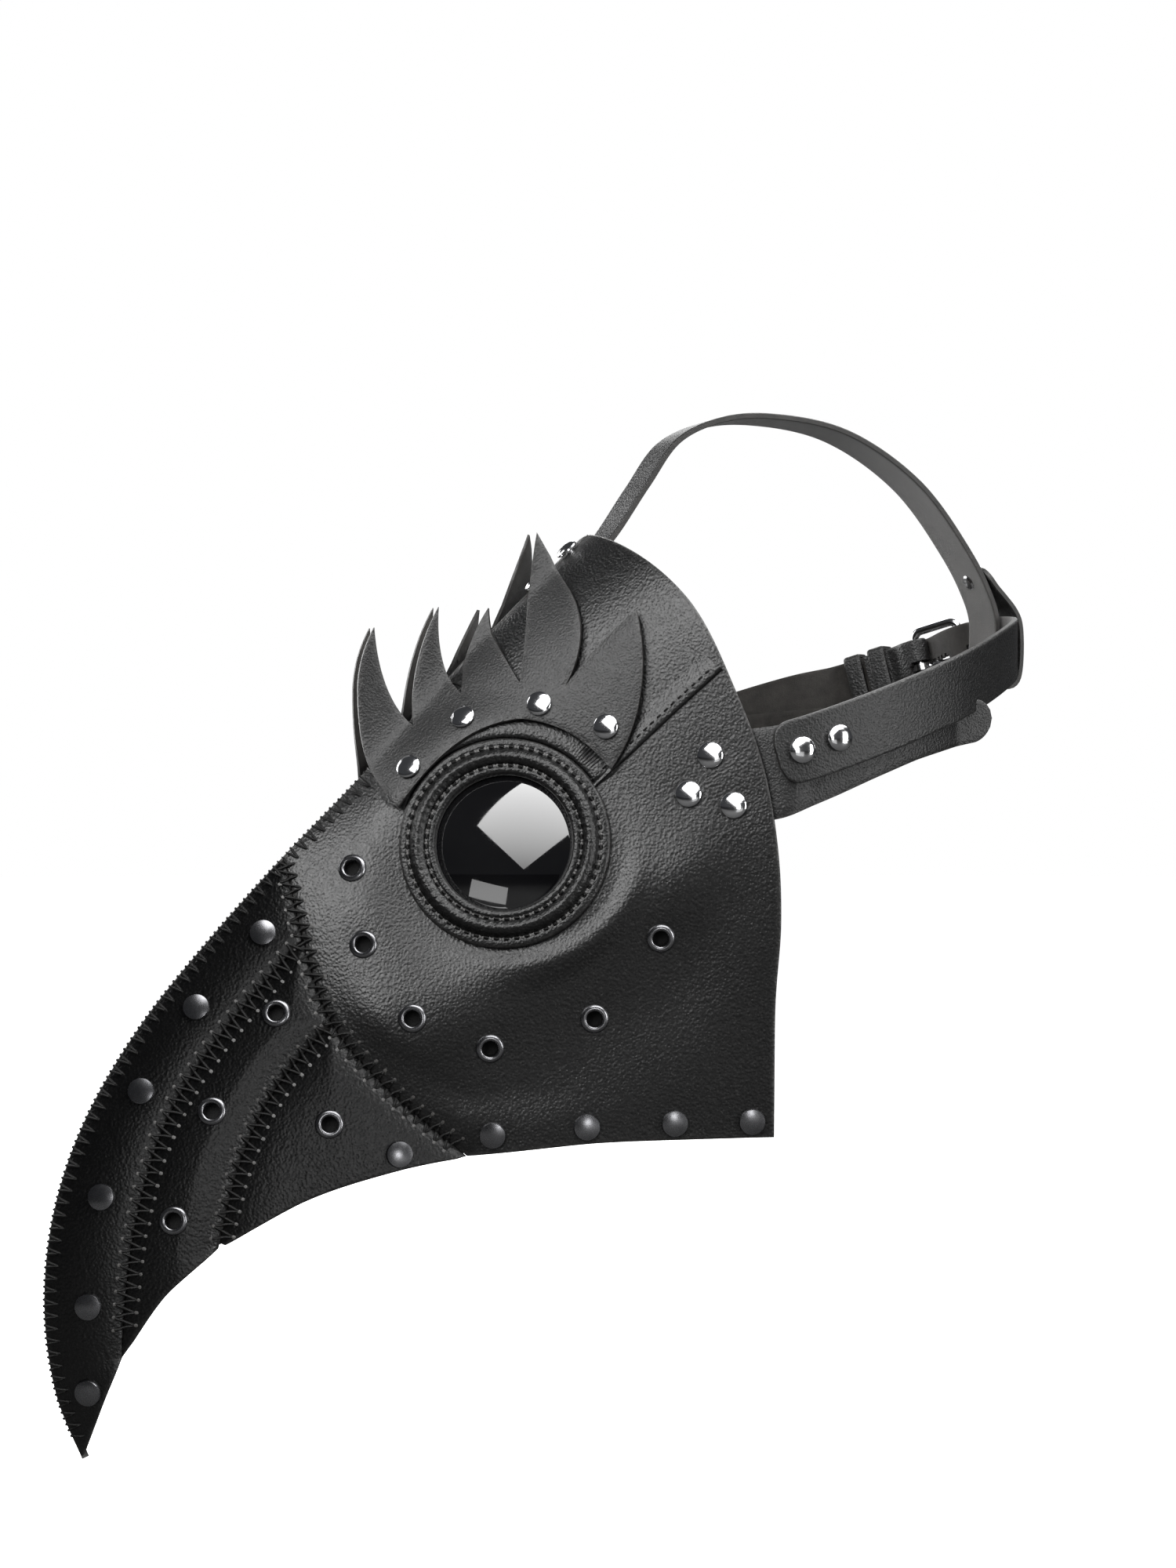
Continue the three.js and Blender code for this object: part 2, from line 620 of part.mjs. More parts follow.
// Top strap: from inside the crown of the mask, over the head, looped round the left strap
// at the back and riveted to itself. Points [y, z] in the plane X = 0.
const TOP = [[-92.1, 60.9], [-77.5, 75.3], [-60.6, 92.1], [-46, 113], [-33, 130.4], [-15, 138.6],
  [5, 140.4], [35, 135.5], [65, 117.5], [86, 92], [94.3, 77.6], [98.0, 67], [98.0, 46.5],
  [99.8, 42.2], [103.4, 40.6], [106.4, 42.2], [108.0, 46.5], [108.0, 65], [105.7, 70],
  [101.6, 74.8], [97.1, 79.7], [92.7, 86.4]];
function topStations() {
  const out = [];
  for (let i = 0; i < TOP.length; i++) {
    const a = TOP[Math.max(0, i - 1)];
    const b = TOP[Math.min(TOP.length - 1, i + 1)];
    const ty = b[0] - a[0];
    const tz = b[1] - a[1];
    const len = Math.hypot(ty, tz);
    const hw = i === 0 ? HW * 0.6 : HW;
    out.push({
      c: new THREE.Vector3(0, TOP[i][0], TOP[i][1]),
      n: new THREE.Vector3(0, -tz / len, ty / len),
      w: new THREE.Vector3(hw, 0, 0),
    });
  }
  return out;
}

// ---------- buckle parts, in the buckle's own axes ----------
function placed(g) {
  const h = g.clone();
  h.applyMatrix4(buckleMatrix);
  return h;
}

function frameGeometry() {
  const s = new THREE.Shape();
  const x0 = ROLLER_X - 1.3;
  const x1 = HINGE_X + 1.3;
  const r = 2.5;
  s.moveTo(x0 + r, -16);
  s.lineTo(x1 - r, -16);
  s.quadraticCurveTo(x1, -16, x1, -16 + r);
  s.lineTo(x1, 16 - r);
  s.quadraticCurveTo(x1, 16, x1 - r, 16);
  s.lineTo(x0 + r, 16);
  s.quadraticCurveTo(x0, 16, x0, 16 - r);
  s.lineTo(x0, -16 + r);
  s.quadraticCurveTo(x0, -16, x0 + r, -16);
  const h = new THREE.Path();
  h.moveTo(x0 + 2.6, -12.6);
  h.lineTo(x0 + 2.6, 12.6);
  h.lineTo(x1 - 2.6, 12.6);
  h.lineTo(x1 - 2.6, -12.6);
  h.lineTo(x0 + 2.6, -12.6);
  s.holes.push(h);
  const g = new THREE.ExtrudeGeometry(s, { depth: 2.6, bevelEnabled: false, curveSegments: 4 });
  g.translate(0, 0, -1.3);
  g.rotateX(Math.PI / 2);
  return fromManifold(toManifoldOriented(placed(g)));
}

function tubeGeometry(x, inner, outer, half, sides) {
  const prof = [[inner, -half], [outer, -half], [outer, half], [inner, half], [inner, -half]];
  const g = new THREE.LatheGeometry(prof.map((p) => new THREE.Vector2(p[0], p[1])), sides);
  g.rotateX(Math.PI / 2);
  g.translate(x, 0, 0);
  return fromManifold(toManifoldOriented(placed(g)));
}

function prongGeometry() {
  const s = new THREE.Shape();
  s.moveTo(-13.4, 4.9);
  s.lineTo(-12.9, 3.4);
  s.lineTo(-8, 3.15);
  s.lineTo(4.6, 1.3);
  s.absarc(HINGE_X, 0, 3.7, Math.PI - 0.36, Math.PI + Math.PI * 0.75 + 0.1, false);
  s.absarc(HINGE_X, 0, 3.7, Math.PI * 1.8, Math.PI * 2 + Math.PI - 1.0, false);
  s.lineTo(3.5, 3.2);
  s.lineTo(-8, 5.0);
  const h = new THREE.Path();
  h.absarc(HINGE_X, 0, 2.15, 0, Math.PI * 2, true);
  s.holes.push(h);
  const g = new THREE.ExtrudeGeometry(s, { depth: 2.8, bevelEnabled: false, curveSegments: 10 });
  g.translate(0, 0, -1.4);
  return fromManifold(toManifoldOriented(placed(g)));
}

function loopGeometry(x, width, yLow, yHigh) {
  const t = 1.6;
  const hz = HW + 0.45;
  const s = new THREE.Shape();
  s.moveTo(yLow - t, -hz - t);
  s.lineTo(yHigh + t, -hz - t);
  s.lineTo(yHigh + t, hz + t);
  s.lineTo(yLow - t, hz + t);
  s.lineTo(yLow - t, -hz - t);
  const h = new THREE.Path();
  h.moveTo(yLow, -hz);
  h.lineTo(yLow, hz);
  h.lineTo(yHigh, hz);
  h.lineTo(yHigh, -hz);
  h.lineTo(yLow, -hz);
  s.holes.push(h);
  const g = new THREE.ExtrudeGeometry(s, { depth: width, bevelEnabled: false });
  // shape axes (y, z) and depth along x
  const m = new THREE.Matrix4().makeBasis(
    new THREE.Vector3(0, 1, 0),
    new THREE.Vector3(0, 0, 1),
    new THREE.Vector3(1, 0, 0),
  );
  g.applyMatrix4(m);
  g.translate(x - width / 2, 0, 0);
  return fromManifold(toManifoldOriented(placed(g)));
}

// ---------- materials ----------
function finish(color, roughness, metalness = 0) {
  return new THREE.MeshStandardMaterial({ color, roughness, metalness });
}
const leather = finish(0x141312, 0.5);
const strapLeather = finish(0x181614, 0.45);
const glass = finish(0x050506, 0.05);
const gunmetal = finish(0x3a3a3c, 0.35, 1);
const chrome = finish(0xc8cacd, 0.15, 1);

// ---------- assembly ----------
const mask = new THREE.Group();

function add(name, geometry, material, parent = mask) {
  const mesh = new THREE.Mesh(geometry, material);
  mesh.name = name;
  mesh.geometry.computeVertexNormals();
  parent.add(mesh);
  return mesh;
}

function addPair(name, geometry, material) {
  add(name + '_left', geometry, material);
  add(name + '_right', mirrored(geometry), material);
}

const holeThrough = (y, z, radius = HOLE_R, reach = 14) => {
  const p = surface(y, z);
  const n = normalAt(y, z);
  return rod(p.clone().addScaledVector(n, -reach), p.clone().addScaledVector(n, reach), radius);
};

const eyeHole = rod(
  eyeCentre.clone().addScaledVector(EYE_NORMAL, -12),
  eyeCentre.clone().addScaledVector(EYE_NORMAL, 12),
  EYE_RING_R + 0.65, 24);

// centre-line rivets of the top strap: shank across both panels
const CROWN_AXIS = new THREE.Vector3(0, -0.699, 0.715);
const crownHoles = TOP_RIVETS.map(([y, z]) => {
  const p = new THREE.Vector3(0, y, z);
  return rod(
    p.clone().addScaledVector(CROWN_AXIS, -14),
    p.clone().addScaledVector(CROWN_AXIS, 6), HOLE_R);
});

const jawHoles = JAW_RIVETS.map(([y, z]) => holeThrough(y, z, HOLE_R, 8));
const tabHoles = TAB_RIVETS.map(([y, z]) => holeThrough(y, z, HOLE_R, 8));
const browHoles = BROW_RIVETS.map(([y, z]) => {
  const p = new THREE.Vector3(browMid(y, z), y, z);
  const n = browNormal(y, z);
  return rod(p.clone().addScaledVector(n, -16), p.clone().addScaledVector(n, 8), HOLE_R);
});

const faceHoles = [eyeHole, ...jawHoles, ...tabHoles, ...browHoles, ...crownHoles];
addPair('face_panel', cut(leatherPanel('face'), faceHoles), leather);
addPair('beak_ridge_panel', leatherPanel('ridge'), leather);
addPair('beak_middle_panel', leatherPanel('middle'), leather);
addPair('beak_lower_panel', cut(leatherPanel('lower'), jawHoles.slice(0, 1)), leather);
add('beak_underside', undersideGeometry(), leather);

function toPlain(g) {
  const h = g.clone();
  h.deleteAttribute('normal');
  h.deleteAttribute('uv');
  return mergeVertices(h, WELD);
}

addPair('eye_ring', turned(ringProfile, eyeCentre, EYE_NORMAL, 24), leather);
addPair('lens', turned(lensProfile, eyeCentre, EYE_NORMAL, 24), glass);
addPair('lens_retainer', turned(retainerProfile, eyeCentre, EYE_NORMAL, 20), gunmetal);
addPair('flame_brow', cut(browGeometry(), browHoles), strapLeather);

const leftRouteRivets = STRAP_RIVET_Y.map(routeAt);
const strapHoles = leftRouteRivets.map((r) => rod(
  r.p.clone().addScaledVector(r.n, -9), r.p.clone().addScaledVector(r.n, 5), HOLE_R));
addPair('strap_tab', cut(tabGeometry(), [...tabHoles, ...strapHoles]), strapLeather);

const prongSlot = placed(new THREE.BoxGeometry(11.5, 16, 3.9).translate(8.2, 0, 0));
const tailSlot = placed(new THREE.BoxGeometry(11, 10, 4.2).translate(0.2, 2.5, 0));
const TAIL_HOLE_R = 1.9;
const punched = [20, 32].map((x) => rod(local(x, 3), local(x, 8.5), TAIL_HOLE_R));
punched.push(rod(local(-16, -8), local(-16, -2), TAIL_HOLE_R));
add('side_strap_left', cut(leftStrap, [...strapHoles, tailSlot, ...punched]), strapLeather);
const rightHoles = strapHoles.map((g) => mirrored(toPlain(g)));
add('side_strap_right', cut(rightStrap, [...rightHoles, prongSlot]), strapLeather);
const loopRivetAxis = new THREE.Vector3(0, 0.836, 0.549).normalize();
const loopRivetPoint = new THREE.Vector3(0, 94.9, 83.05).addScaledVector(loopRivetAxis, STRAP_T / 2);
const loopHole = rod(
  loopRivetPoint.clone().addScaledVector(loopRivetAxis, -9),
  loopRivetPoint.clone().addScaledVector(loopRivetAxis, 9), HOLE_R);
add('top_strap', cut(strip(topStations(), STRAP_T), [...crownHoles, loopHole]), strapLeather);

add('buckle_frame', frameGeometry(), chrome);
add('buckle_roller', tubeGeometry(ROLLER_X, 2.15, 2.9, 11.8, 16), chrome);
add('buckle_prong', prongGeometry(), chrome);
add('fixed_keeper', loopGeometry(25, 7, -0.75, 7.2), strapLeather);
add('sliding_keeper', loopGeometry(36.5, 7, 1.9, 7.2), strapLeather);

// ---------- rivets ----------
function rivetPair(name, point, axis, grip, material, cap = RIVET_R) {
  addPair(name, rivetGeometry(point, axis, grip, cap), material);
}

JAW_RIVETS.forEach(([y, z], i) => {
  const n = normalAt(y, z);
  const grip = i === 0 ? 4.5 : 5.9;
  const seat = surface(y, z).addScaledVector(n, 0.15);
  rivetPair('jaw_rivet_' + (i + 1), seat, n, grip, gunmetal);
});
TAB_RIVETS.forEach(([y, z], i) => {
  rivetPair('tab_rivet_' + (i + 1), surface(y, z), normalAt(y, z), 4.5, chrome);
});
BROW_RIVETS.forEach(([y, z], i) => {
  const n = browNormal(y, z);
  const p = new THREE.Vector3(browMid(y, z), y, z);
  const q = p.clone();
  let depth = 0;
  while (q.x > halfWidth(q.y, q.z) && depth < 14) {
    q.addScaledVector(n, -0.05);
    depth += 0.05;
  }
  const grip = depth + BROW_T / 2 + LEATHER * 1.3 + 1.0;
  rivetPair('brow_rivet_' + (i + 1), p.addScaledVector(n, BROW_T / 2 + 0.5), n, grip, chrome, SMALL_RIVET_R);
});
leftRouteRivets.forEach((r, i) => {
  const p = r.p.clone().addScaledVector(r.n, STRAP_T / 2);
  rivetPair('strap_rivet_' + (i + 1), p, r.n, STRAP_T + TAB_T + 2.3, chrome);
});
TOP_RIVETS.forEach(([y, z], i) => {
  const p = new THREE.Vector3(0, y, z);
  add('crown_rivet_' + (i + 1), rivetGeometry(p, CROWN_AXIS, 7.6, SMALL_RIVET_R), chrome);
});
add('loop_rivet', rivetGeometry(loopRivetPoint, loopRivetAxis, 5.6, SMALL_RIVET_R), chrome);

export default mask;
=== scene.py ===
"""Looks of the plague doctor mask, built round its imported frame.

Lengths below are millimetres in the part's frame (+Z up, beak along -Y) and become metres
when a mesh is made.
"""

import math

import bmesh
import bpy
import numpy as np
from mathutils import Matrix, Vector


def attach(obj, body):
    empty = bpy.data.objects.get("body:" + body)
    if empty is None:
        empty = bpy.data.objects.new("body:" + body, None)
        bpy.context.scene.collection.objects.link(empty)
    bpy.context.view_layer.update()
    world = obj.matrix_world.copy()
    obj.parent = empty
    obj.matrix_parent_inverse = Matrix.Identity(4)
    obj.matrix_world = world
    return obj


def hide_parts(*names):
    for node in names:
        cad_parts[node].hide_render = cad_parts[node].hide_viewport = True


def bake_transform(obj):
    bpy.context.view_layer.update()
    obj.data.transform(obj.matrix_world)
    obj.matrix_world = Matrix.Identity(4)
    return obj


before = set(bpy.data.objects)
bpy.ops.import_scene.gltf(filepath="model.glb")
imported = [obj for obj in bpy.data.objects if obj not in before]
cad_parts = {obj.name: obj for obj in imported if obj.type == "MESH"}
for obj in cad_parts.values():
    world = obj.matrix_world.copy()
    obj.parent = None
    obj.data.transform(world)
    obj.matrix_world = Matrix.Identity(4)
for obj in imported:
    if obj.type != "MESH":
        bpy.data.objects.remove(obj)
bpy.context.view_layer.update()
MM = 0.001
rng = np.random.default_rng(7)

# ------------------------------------------------------------------ dimensions
LEATHER = 2.0
EYE = np.array([36.8, -110.0, -18.0])
EYE_N = np.array([0.88, -0.43, 0.19]) / np.linalg.norm([0.88, -0.43, 0.19])
EYE_HOLE = 33.0                   # radius cut out of the face panel under the padded ring
EYELET_HOLE = 3.5
STRAP_W, STRAP_T, TAB_T, BROW_T = 22.5, 2.2, 1.8, 2.0
CREST_RISE, CHEEK_HOLLOW = 2.6, 1.8

BEAK_RIDGE = [[-253.5, -232.5], [-263, -208], [-266.8, -176.5], [-263, -143.5],
              [-251.5, -111.8], [-231.6, -79.6], [-206, -49], [-181, -22]]
FACE_RIDGE = [[-181, -22], [-149.5, 9.5], [-108, 54.5], [-66, 95.5]]
REAR_EDGE = [[-66, 95.5], [-48, 68], [-36, 36.5], [-27.7, 9.9], [-23.2, -19],
             [-21.6, -46.5], [-22.4, -76.9], [-20.5, -122]]
FRONT_SEAM = [[-181, -22], [-177, -52], [-169, -81], [-150, -105], [-124, -128]]
SEAM_1 = [[-177, -52], [-207, -86], [-226, -115], [-236.5, -148], [-240.5, -176], [-241.5, -195.5]]
SEAM_2 = [[-169, -81], [-189, -104], [-202, -130], [-209.5, -158]]
TIP_EDGE = [[-253.5, -232.5], [-247.5, -211], [-241.5, -195.5]]
MIDDLE_EDGE = [[-241.5, -195.5], [-228, -174], [-209.5, -158]]
LOWER_EDGE = [[-124, -128], [-149, -132.5], [-180, -142], [-209.5, -158]]
JAW_EDGE = [[-124, -128], [-84, -123.6], [-50, -122.5], [-20.5, -122]]
DART = [[-83.5, -2.0], [-70, 11.5], [-56, 26], [-39.2, 43.2]]

JAW_RIVETS = [[-148, -126.6], [-116.3, -120.4], [-85, -117.6], [-55, -116.6], [-28.5, -116.2]]
TAB_RIVETS = [[-43.8, 13.1], [-51, -0.6], [-37, -4.5]]
BROW_RIVETS = [[-139.5, 8.5], [-120.5, 26], [-96.5, 31], [-76.5, 23]]
TOP_RIVETS = [[-85.5, 76.6], [-73, 88.8]]
RIDGE_RIVETS = [[-190.6, -49.6], [-214.4, -75.3], [-234, -104], [-248.2, -140], [-252.8, -177.7], [-252.5, -207.8]]
FACE_EYELETS = [[-160, -26.7], [-158.4, -53.3], [-144.1, -78.9], [-117.7, -89.8], [-82.2, -79.6], [-60.8, -51.3]]
MIDDLE_EYELETS = [[-188.1, -77.2], [-211.3, -110.6], [-225.1, -147.9]]
LOWER_EYELETS = [[-171.8, -115.7]]


T = np.linspace


# ------------------------------------------------------------------ curves and surface
def unit(v):
    v = np.asarray(v, float)
    return v / np.linalg.norm(v, axis=-1, keepdims=True)


def length_along(p):
    """Running length at each point of a polyline."""
    return np.concatenate([[0], np.cumsum(np.linalg.norm(np.diff(p, axis=0), axis=1))])


def at_lengths(at, s, p):
    """Points of the polyline p, whose running length is s, at the given lengths."""
    return np.column_stack([np.interp(at, s, p[:, i]) for i in range(p.shape[1])])


def left_of(tangent):
    """2-D direction a quarter turn to the left of each tangent."""
    return np.column_stack([-tangent[:, 1], tangent[:, 0]])


def rounded(d, radius, depth):
    """How far a rounded edge of this radius and depth has dropped, at distance d from the edge."""
    r = np.clip(1 - d / radius, 0, 1)
    return depth * (1 - np.sqrt(np.clip(1 - r**2, 0, 1)))


def bell(v, centre, width):
    return np.exp(-(((v - centre) / width) ** 2))


def spline(points, ts):
    """Uniform Catmull-Rom through the points, as three.js SplineCurve draws it."""
    p = np.asarray(points, float)
    last = len(p) - 1
    t = np.clip(np.asarray(ts, float), 0, 1) * last
    i = np.minimum(t.astype(int), last - 1)
    w = (t - i)[:, None]
    p0 = p[np.where(i == 0, i, i - 1)]
    p1, p2 = p[i], p[i + 1]
    p3 = p[np.minimum(i + 2, last)]
    v0, v1 = (p2 - p0) / 2, (p3 - p1) / 2
    return (2 * p1 - 2 * p2 + v0 + v1) * w**3 + (3 * p2 - 3 * p1 - 2 * v0 - v1) * w**2 + v0 * w + p1


def smooth(a, b, v):
    t = np.clip((v - a) / (b - a), 0, 1)
    return t * t * (3 - 2 * t)


def nearest(q, line):
    """Distance from each 2-D point to a polyline, and which side it is on (-1 outside)."""
    a, b = line[:-1], line[1:]
    ab = b - a
    best = np.full(len(q), 1e9)
    side = np.ones(len(q))
    for k in range(len(a)):
        t = np.clip(((q - a[k]) @ ab[k]) / max(ab[k] @ ab[k], 1e-12), 0, 1)
        r = q - a[k] - t[:, None] * ab[k]
        d = np.hypot(r[:, 0], r[:, 1])
        hit = d < best
        best[hit] = d[hit]
        cross = ab[k][0] * (q[:, 1] - a[k][1]) - ab[k][1] * (q[:, 0] - a[k][0])
        side[hit] = np.where(cross[hit] > 0, -1, 1)
    return best, side


RIDGE_LINE = np.vstack([spline(BEAK_RIDGE, T(0, 1, 61)), spline(FACE_RIDGE, T(0, 1, 41))[1:], [[-24, 138.4]]])
FRONT_LINE = spline(FRONT_SEAM, T(0, 1, 41))
LINE_1 = spline(SEAM_1, T(0, 1, 41))
LINE_2 = spline(SEAM_2, T(0, 1, 31))
DART_LINE = spline(DART, T(0, 1, 91))


CREST_LINE = spline([[-158, -84], [-132, -76], [-108, -62], [-80, -43], [-52, -29], [-26, -24]], T(0, 1, 31))


def front_seam_y(z):
    return np.interp(z, FRONT_LINE[::-1, 1], FRONT_LINE[::-1, 0])


def cheekbone(y, z):
    """Soft crest under the eye, with the cheek hollowed a little below it, in mm along X."""
    q = np.stack([y, z], 1)
    d, side = nearest(q, CREST_LINE)
    below = d * side
    crest = CREST_RISE * bell(d, 0, 15)
    hollow = CHEEK_HOLLOW * bell(below, 36, 17) * smooth(0, 20, below)
    rr = np.hypot(y - EYE[1], z - EYE[2])
    front = nearest(q, FRONT_LINE)[0]
    keep = smooth(36, 43, rr) * smooth(3, 16, front) * (y > front_seam_y(z))
    keep = keep * smooth(-120, -104, z) * (1 - smooth(-58, -30, y)) * (1 - smooth(-4, 10, z))
    return (crest - hollow) * keep


def half_width(y, z):
    """Half-width of the outer surface: the CAD panels' shape with the cheekbone's soft crest."""
    q = np.stack([y, z], 1)
    d, side = nearest(q, RIDGE_LINE)
    blunt = 1 - 0.4 * smooth(-5, 90, z)
    back = np.maximum(0, (y + 185) / 165)
    tent = (1 - np.exp(-d / 55)) ** blunt * (34 + (51.6 + 0.18 * z) * back**1.35)
    to_front = nearest(q, FRONT_LINE)[0]
    to_seam = np.minimum(to_front, np.minimum(nearest(q, LINE_1)[0], nearest(q, LINE_2)[0]))
    swell = np.where(y < front_seam_y(z), 4 * (1 - np.exp(-to_seam / 8)), 8 * (1 - np.exp(-to_front / 14)))
    x = tent + swell * (1 - np.exp(-d / 10))
    flat = EYE[0] - (EYE_N[1] * (y - EYE[1]) + EYE_N[2] * (z - EYE[2])) / EYE_N[0]
    rr = np.sqrt((flat - EYE[0]) ** 2 + (y - EYE[1]) ** 2 + (z - EYE[2]) ** 2)
    w = 1 - smooth(36, 56, rr)
    x = x + (flat - x) * w
    return np.where(side < 0, -1.2 * d, x + cheekbone(y, z))


def surface(yz):
    yz = np.atleast_2d(np.asarray(yz, float))
    return np.column_stack([half_width(yz[:, 0], yz[:, 1]), yz])


def slope_normals(width, y, z, h):
    """Outward normals of the sheet x = width(y, z)."""
    gy = (width(y + h, z) - width(y - h, z)) / (2 * h)
    gz = (width(y, z + h) - width(y, z - h)) / (2 * h)
    return unit(np.column_stack([np.ones(len(y)), -gy, -gz]))


def normals(yz):
    yz = np.atleast_2d(np.asarray(yz, float))
    return slope_normals(half_width, yz[:, 0], yz[:, 1], 3.0)


EYE_UP = unit(np.array([0, 0, 1.0]) - EYE_N[2] * EYE_N)
EYE_REAR = np.cross(EYE_UP, EYE_N)


def eye_radius(p):
    """Distance of each point from the eye's axis."""
    d = p - EYE
    return np.hypot(d @ EYE_REAR, d @ EYE_UP)


def round_eye(angle, radius):
    """Points in the eye's plane; angle 0 is to the rear and 90 degrees up."""
    return EYE + (np.cos(angle) * radius)[..., None] * EYE_REAR + (np.sin(angle) * radius)[..., None] * EYE_UP


# ------------------------------------------------------------------ mesh helpers
def make(name, verts, faces, material, body, slot, nodes=(), edge=None, mats=None, smooth_angle=40, blend=None):
    """A mesh object in metres that rides on a body, or with blend is baked in place on none, and stands for CAD nodes.
    """
    me = bpy.data.meshes.new(name)
    me.from_pydata((np.asarray(verts, float) * MM).tolist(), [], faces)
    for m in (material if isinstance(material, (list, tuple)) else [material]):
        me.materials.append(m)
    if mats is not None:
        me.polygons.foreach_set("material_index", np.asarray(mats, np.int32))
    if edge is not None:
        att = me.attributes.new("edge", "FLOAT", "POINT")
        att.data.foreach_set("value", np.asarray(edge, np.float32))
    me.validate()
    me.update()
    o = bpy.data.objects.new(name, me)
    bpy.context.scene.collection.objects.link(o)
    me.shade_smooth()
    me.set_sharp_from_angle(angle=math.radians(smooth_angle))
    if nodes:
        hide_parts(*nodes)
    if blend:
        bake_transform(o)
    else:
        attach(o, body)
    return o


def fix_winding(verts, faces):
    """Turns the faces over if the closed mesh has a negative volume."""
    v = np.asarray(verts, float)
    vol = 0.0
    for f in faces:
        for k in range(1, len(f) - 1):
            vol += np.dot(v[f[0]], np.cross(v[f[k]], v[f[k + 1]]))
    return [tuple(reversed(f)) for f in faces] if vol < 0 else faces


def slab(outer, inner, keep=None):
    """Closed solid between two matching grids; cells where keep is False are left open."""
    n, m, _ = outer.shape
    if keep is None:
        keep = np.ones((n - 1, m - 1), bool)
    verts = np.concatenate([outer.reshape(-1, 3), inner.reshape(-1, 3)])
    off = n * m
    faces, kinds = [], []  # kinds: 0 outside, 1 inside, 2 cut edge
    for i in range(n - 1):
        for j in range(m - 1):
            if not keep[i, j]:
                continue
            a, b, c, d = i * m + j, (i + 1) * m + j, (i + 1) * m + j + 1, i * m + j + 1
            faces.append((a, b, c, d))
            kinds.append(0)
            faces.append((off + a, off + d, off + c, off + b))
            kinds.append(1)
            for (p, q), (di, dj) in (((a, d), (-1, 0)), ((c, b), (1, 0)), ((b, a), (0, -1)), ((d, c), (0, 1))):
                x, y = i + di, j + dj
                if not (0 <= x < n - 1 and 0 <= y < m - 1) or not keep[x, y]:
                    faces.append((q, p, off + p, off + q))
                    kinds.append(2)
    used = np.zeros(len(verts), bool)
    used[np.unique(np.concatenate([np.asarray(f) for f in faces]))] = True
    remap = np.cumsum(used) - 1
    faces = [tuple(int(remap[k]) for k in f) for f in faces]
    return verts[used], fix_winding(verts[used], faces), kinds, used


def from_axis(grid, point, axis):
    """Centre of each cell of a grid, as its distance from an axis and its height along it."""
    mid = (grid[:-1, :-1] + grid[1:, :-1] + grid[:-1, 1:] + grid[1:, 1:]) / 4 - point
    height = mid @ axis
    return np.linalg.norm(mid - height[..., None] * axis, axis=2), np.abs(height)


def stepped(faces, by):
    return [tuple(k + by for k in f) for f in faces]


def lathe(profile, origin, axis, sides=48, wobble=None):
    """Closed surface of revolution of [radius, height] points round an axis."""
    axis = unit(axis)
    ref = np.array([0, 0, 1.0]) if abs(axis[2]) < 0.9 else np.array([0, 1.0, 0])
    u = unit(np.cross(ref, axis))
    v = np.cross(axis, u)
    pr = np.asarray(profile, float)
    closed = np.allclose(pr[0], pr[-1])
    if closed:
        pr = pr[:-1]
    ang = T(0, 2 * math.pi, sides, endpoint=False)
    verts, rows = [], []
    for r, h in pr:
        if r < 1e-6:
            rows.append([len(verts)])
            verts.append(np.asarray(origin) + axis * h)
            continue
        row = []
        for a in ang:
            rr, hh = (r, h) if wobble is None else wobble(r, h, a)
            row.append(len(verts))
            verts.append(np.asarray(origin) + axis * hh + (u * math.cos(a) + v * math.sin(a)) * rr)
        rows.append(row)
    faces = []
    pairs = list(zip(rows[:-1], rows[1:]))
    if closed:
        pairs.append((rows[-1], rows[0]))
    for a, b in pairs:
        for k in range(sides):
            k2 = (k + 1) % sides
            if len(a) == 1 and len(b) == 1:
                continue
            if len(a) == 1:
                faces.append((a[0], b[k2], b[k]))
            elif len(b) == 1:
                faces.append((a[k], a[k2], b[0]))
            else:
                faces.append((a[k], a[k2], b[k2], b[k]))
    return np.array(verts), fix_winding(verts, faces)


def tubes(paths, radius, sides=6, taper=0.55):
    """Many short round threads as one mesh; paths is a list of [k, 3] arrays."""
    verts, faces = [], []
    for path in paths:
        p = np.asarray(path, float)
        k = len(p)
        tan = unit(np.gradient(p, axis=0))
        u = unit(np.cross(tan, [0.3, 0.5, 0.81]))
        v = np.cross(tan, u)
        base = len(verts)
        for i in range(k):
            r = radius * (taper if i in (0, k - 1) else 1)
            for s in range(sides):
                a = 2 * math.pi * s / sides
                verts.append(p[i] + (u[i] * math.cos(a) + v[i] * math.sin(a)) * r)
        for i in range(k - 1):
            for s in range(sides):
                s2 = (s + 1) % sides
                a, b = base + i * sides, base + (i + 1) * sides
                faces.append((a + s, a + s2, b + s2, b + s))
        faces.append(tuple(base + s for s in range(sides))[::-1])
        faces.append(tuple(base + (k - 1) * sides + s for s in range(sides)))
    return np.array(verts), faces


def mirror(verts):
    return np.asarray(verts) * np.array([-1.0, 1, 1])


def flip(faces):
    return [tuple(reversed(f)) for f in faces]


def both(name, verts, faces, material, slot, body="mask", stands=True, **kw):
    """The same piece on the wearer's left and mirrored on the right.

    With stands it stands for the CAD node of the same name, and without it is an extra.
    """
    made = []
    for side in ("left", "right"):
        v, f = (verts, faces) if side == "left" else (mirror(verts), flip(faces))
        node, suffix = ([f"{name}_{side}"], "_looks_") if stands else ([], "_")
        made.append(make(name + suffix + side, v, f, material, body, slot, node, **kw))
    return made


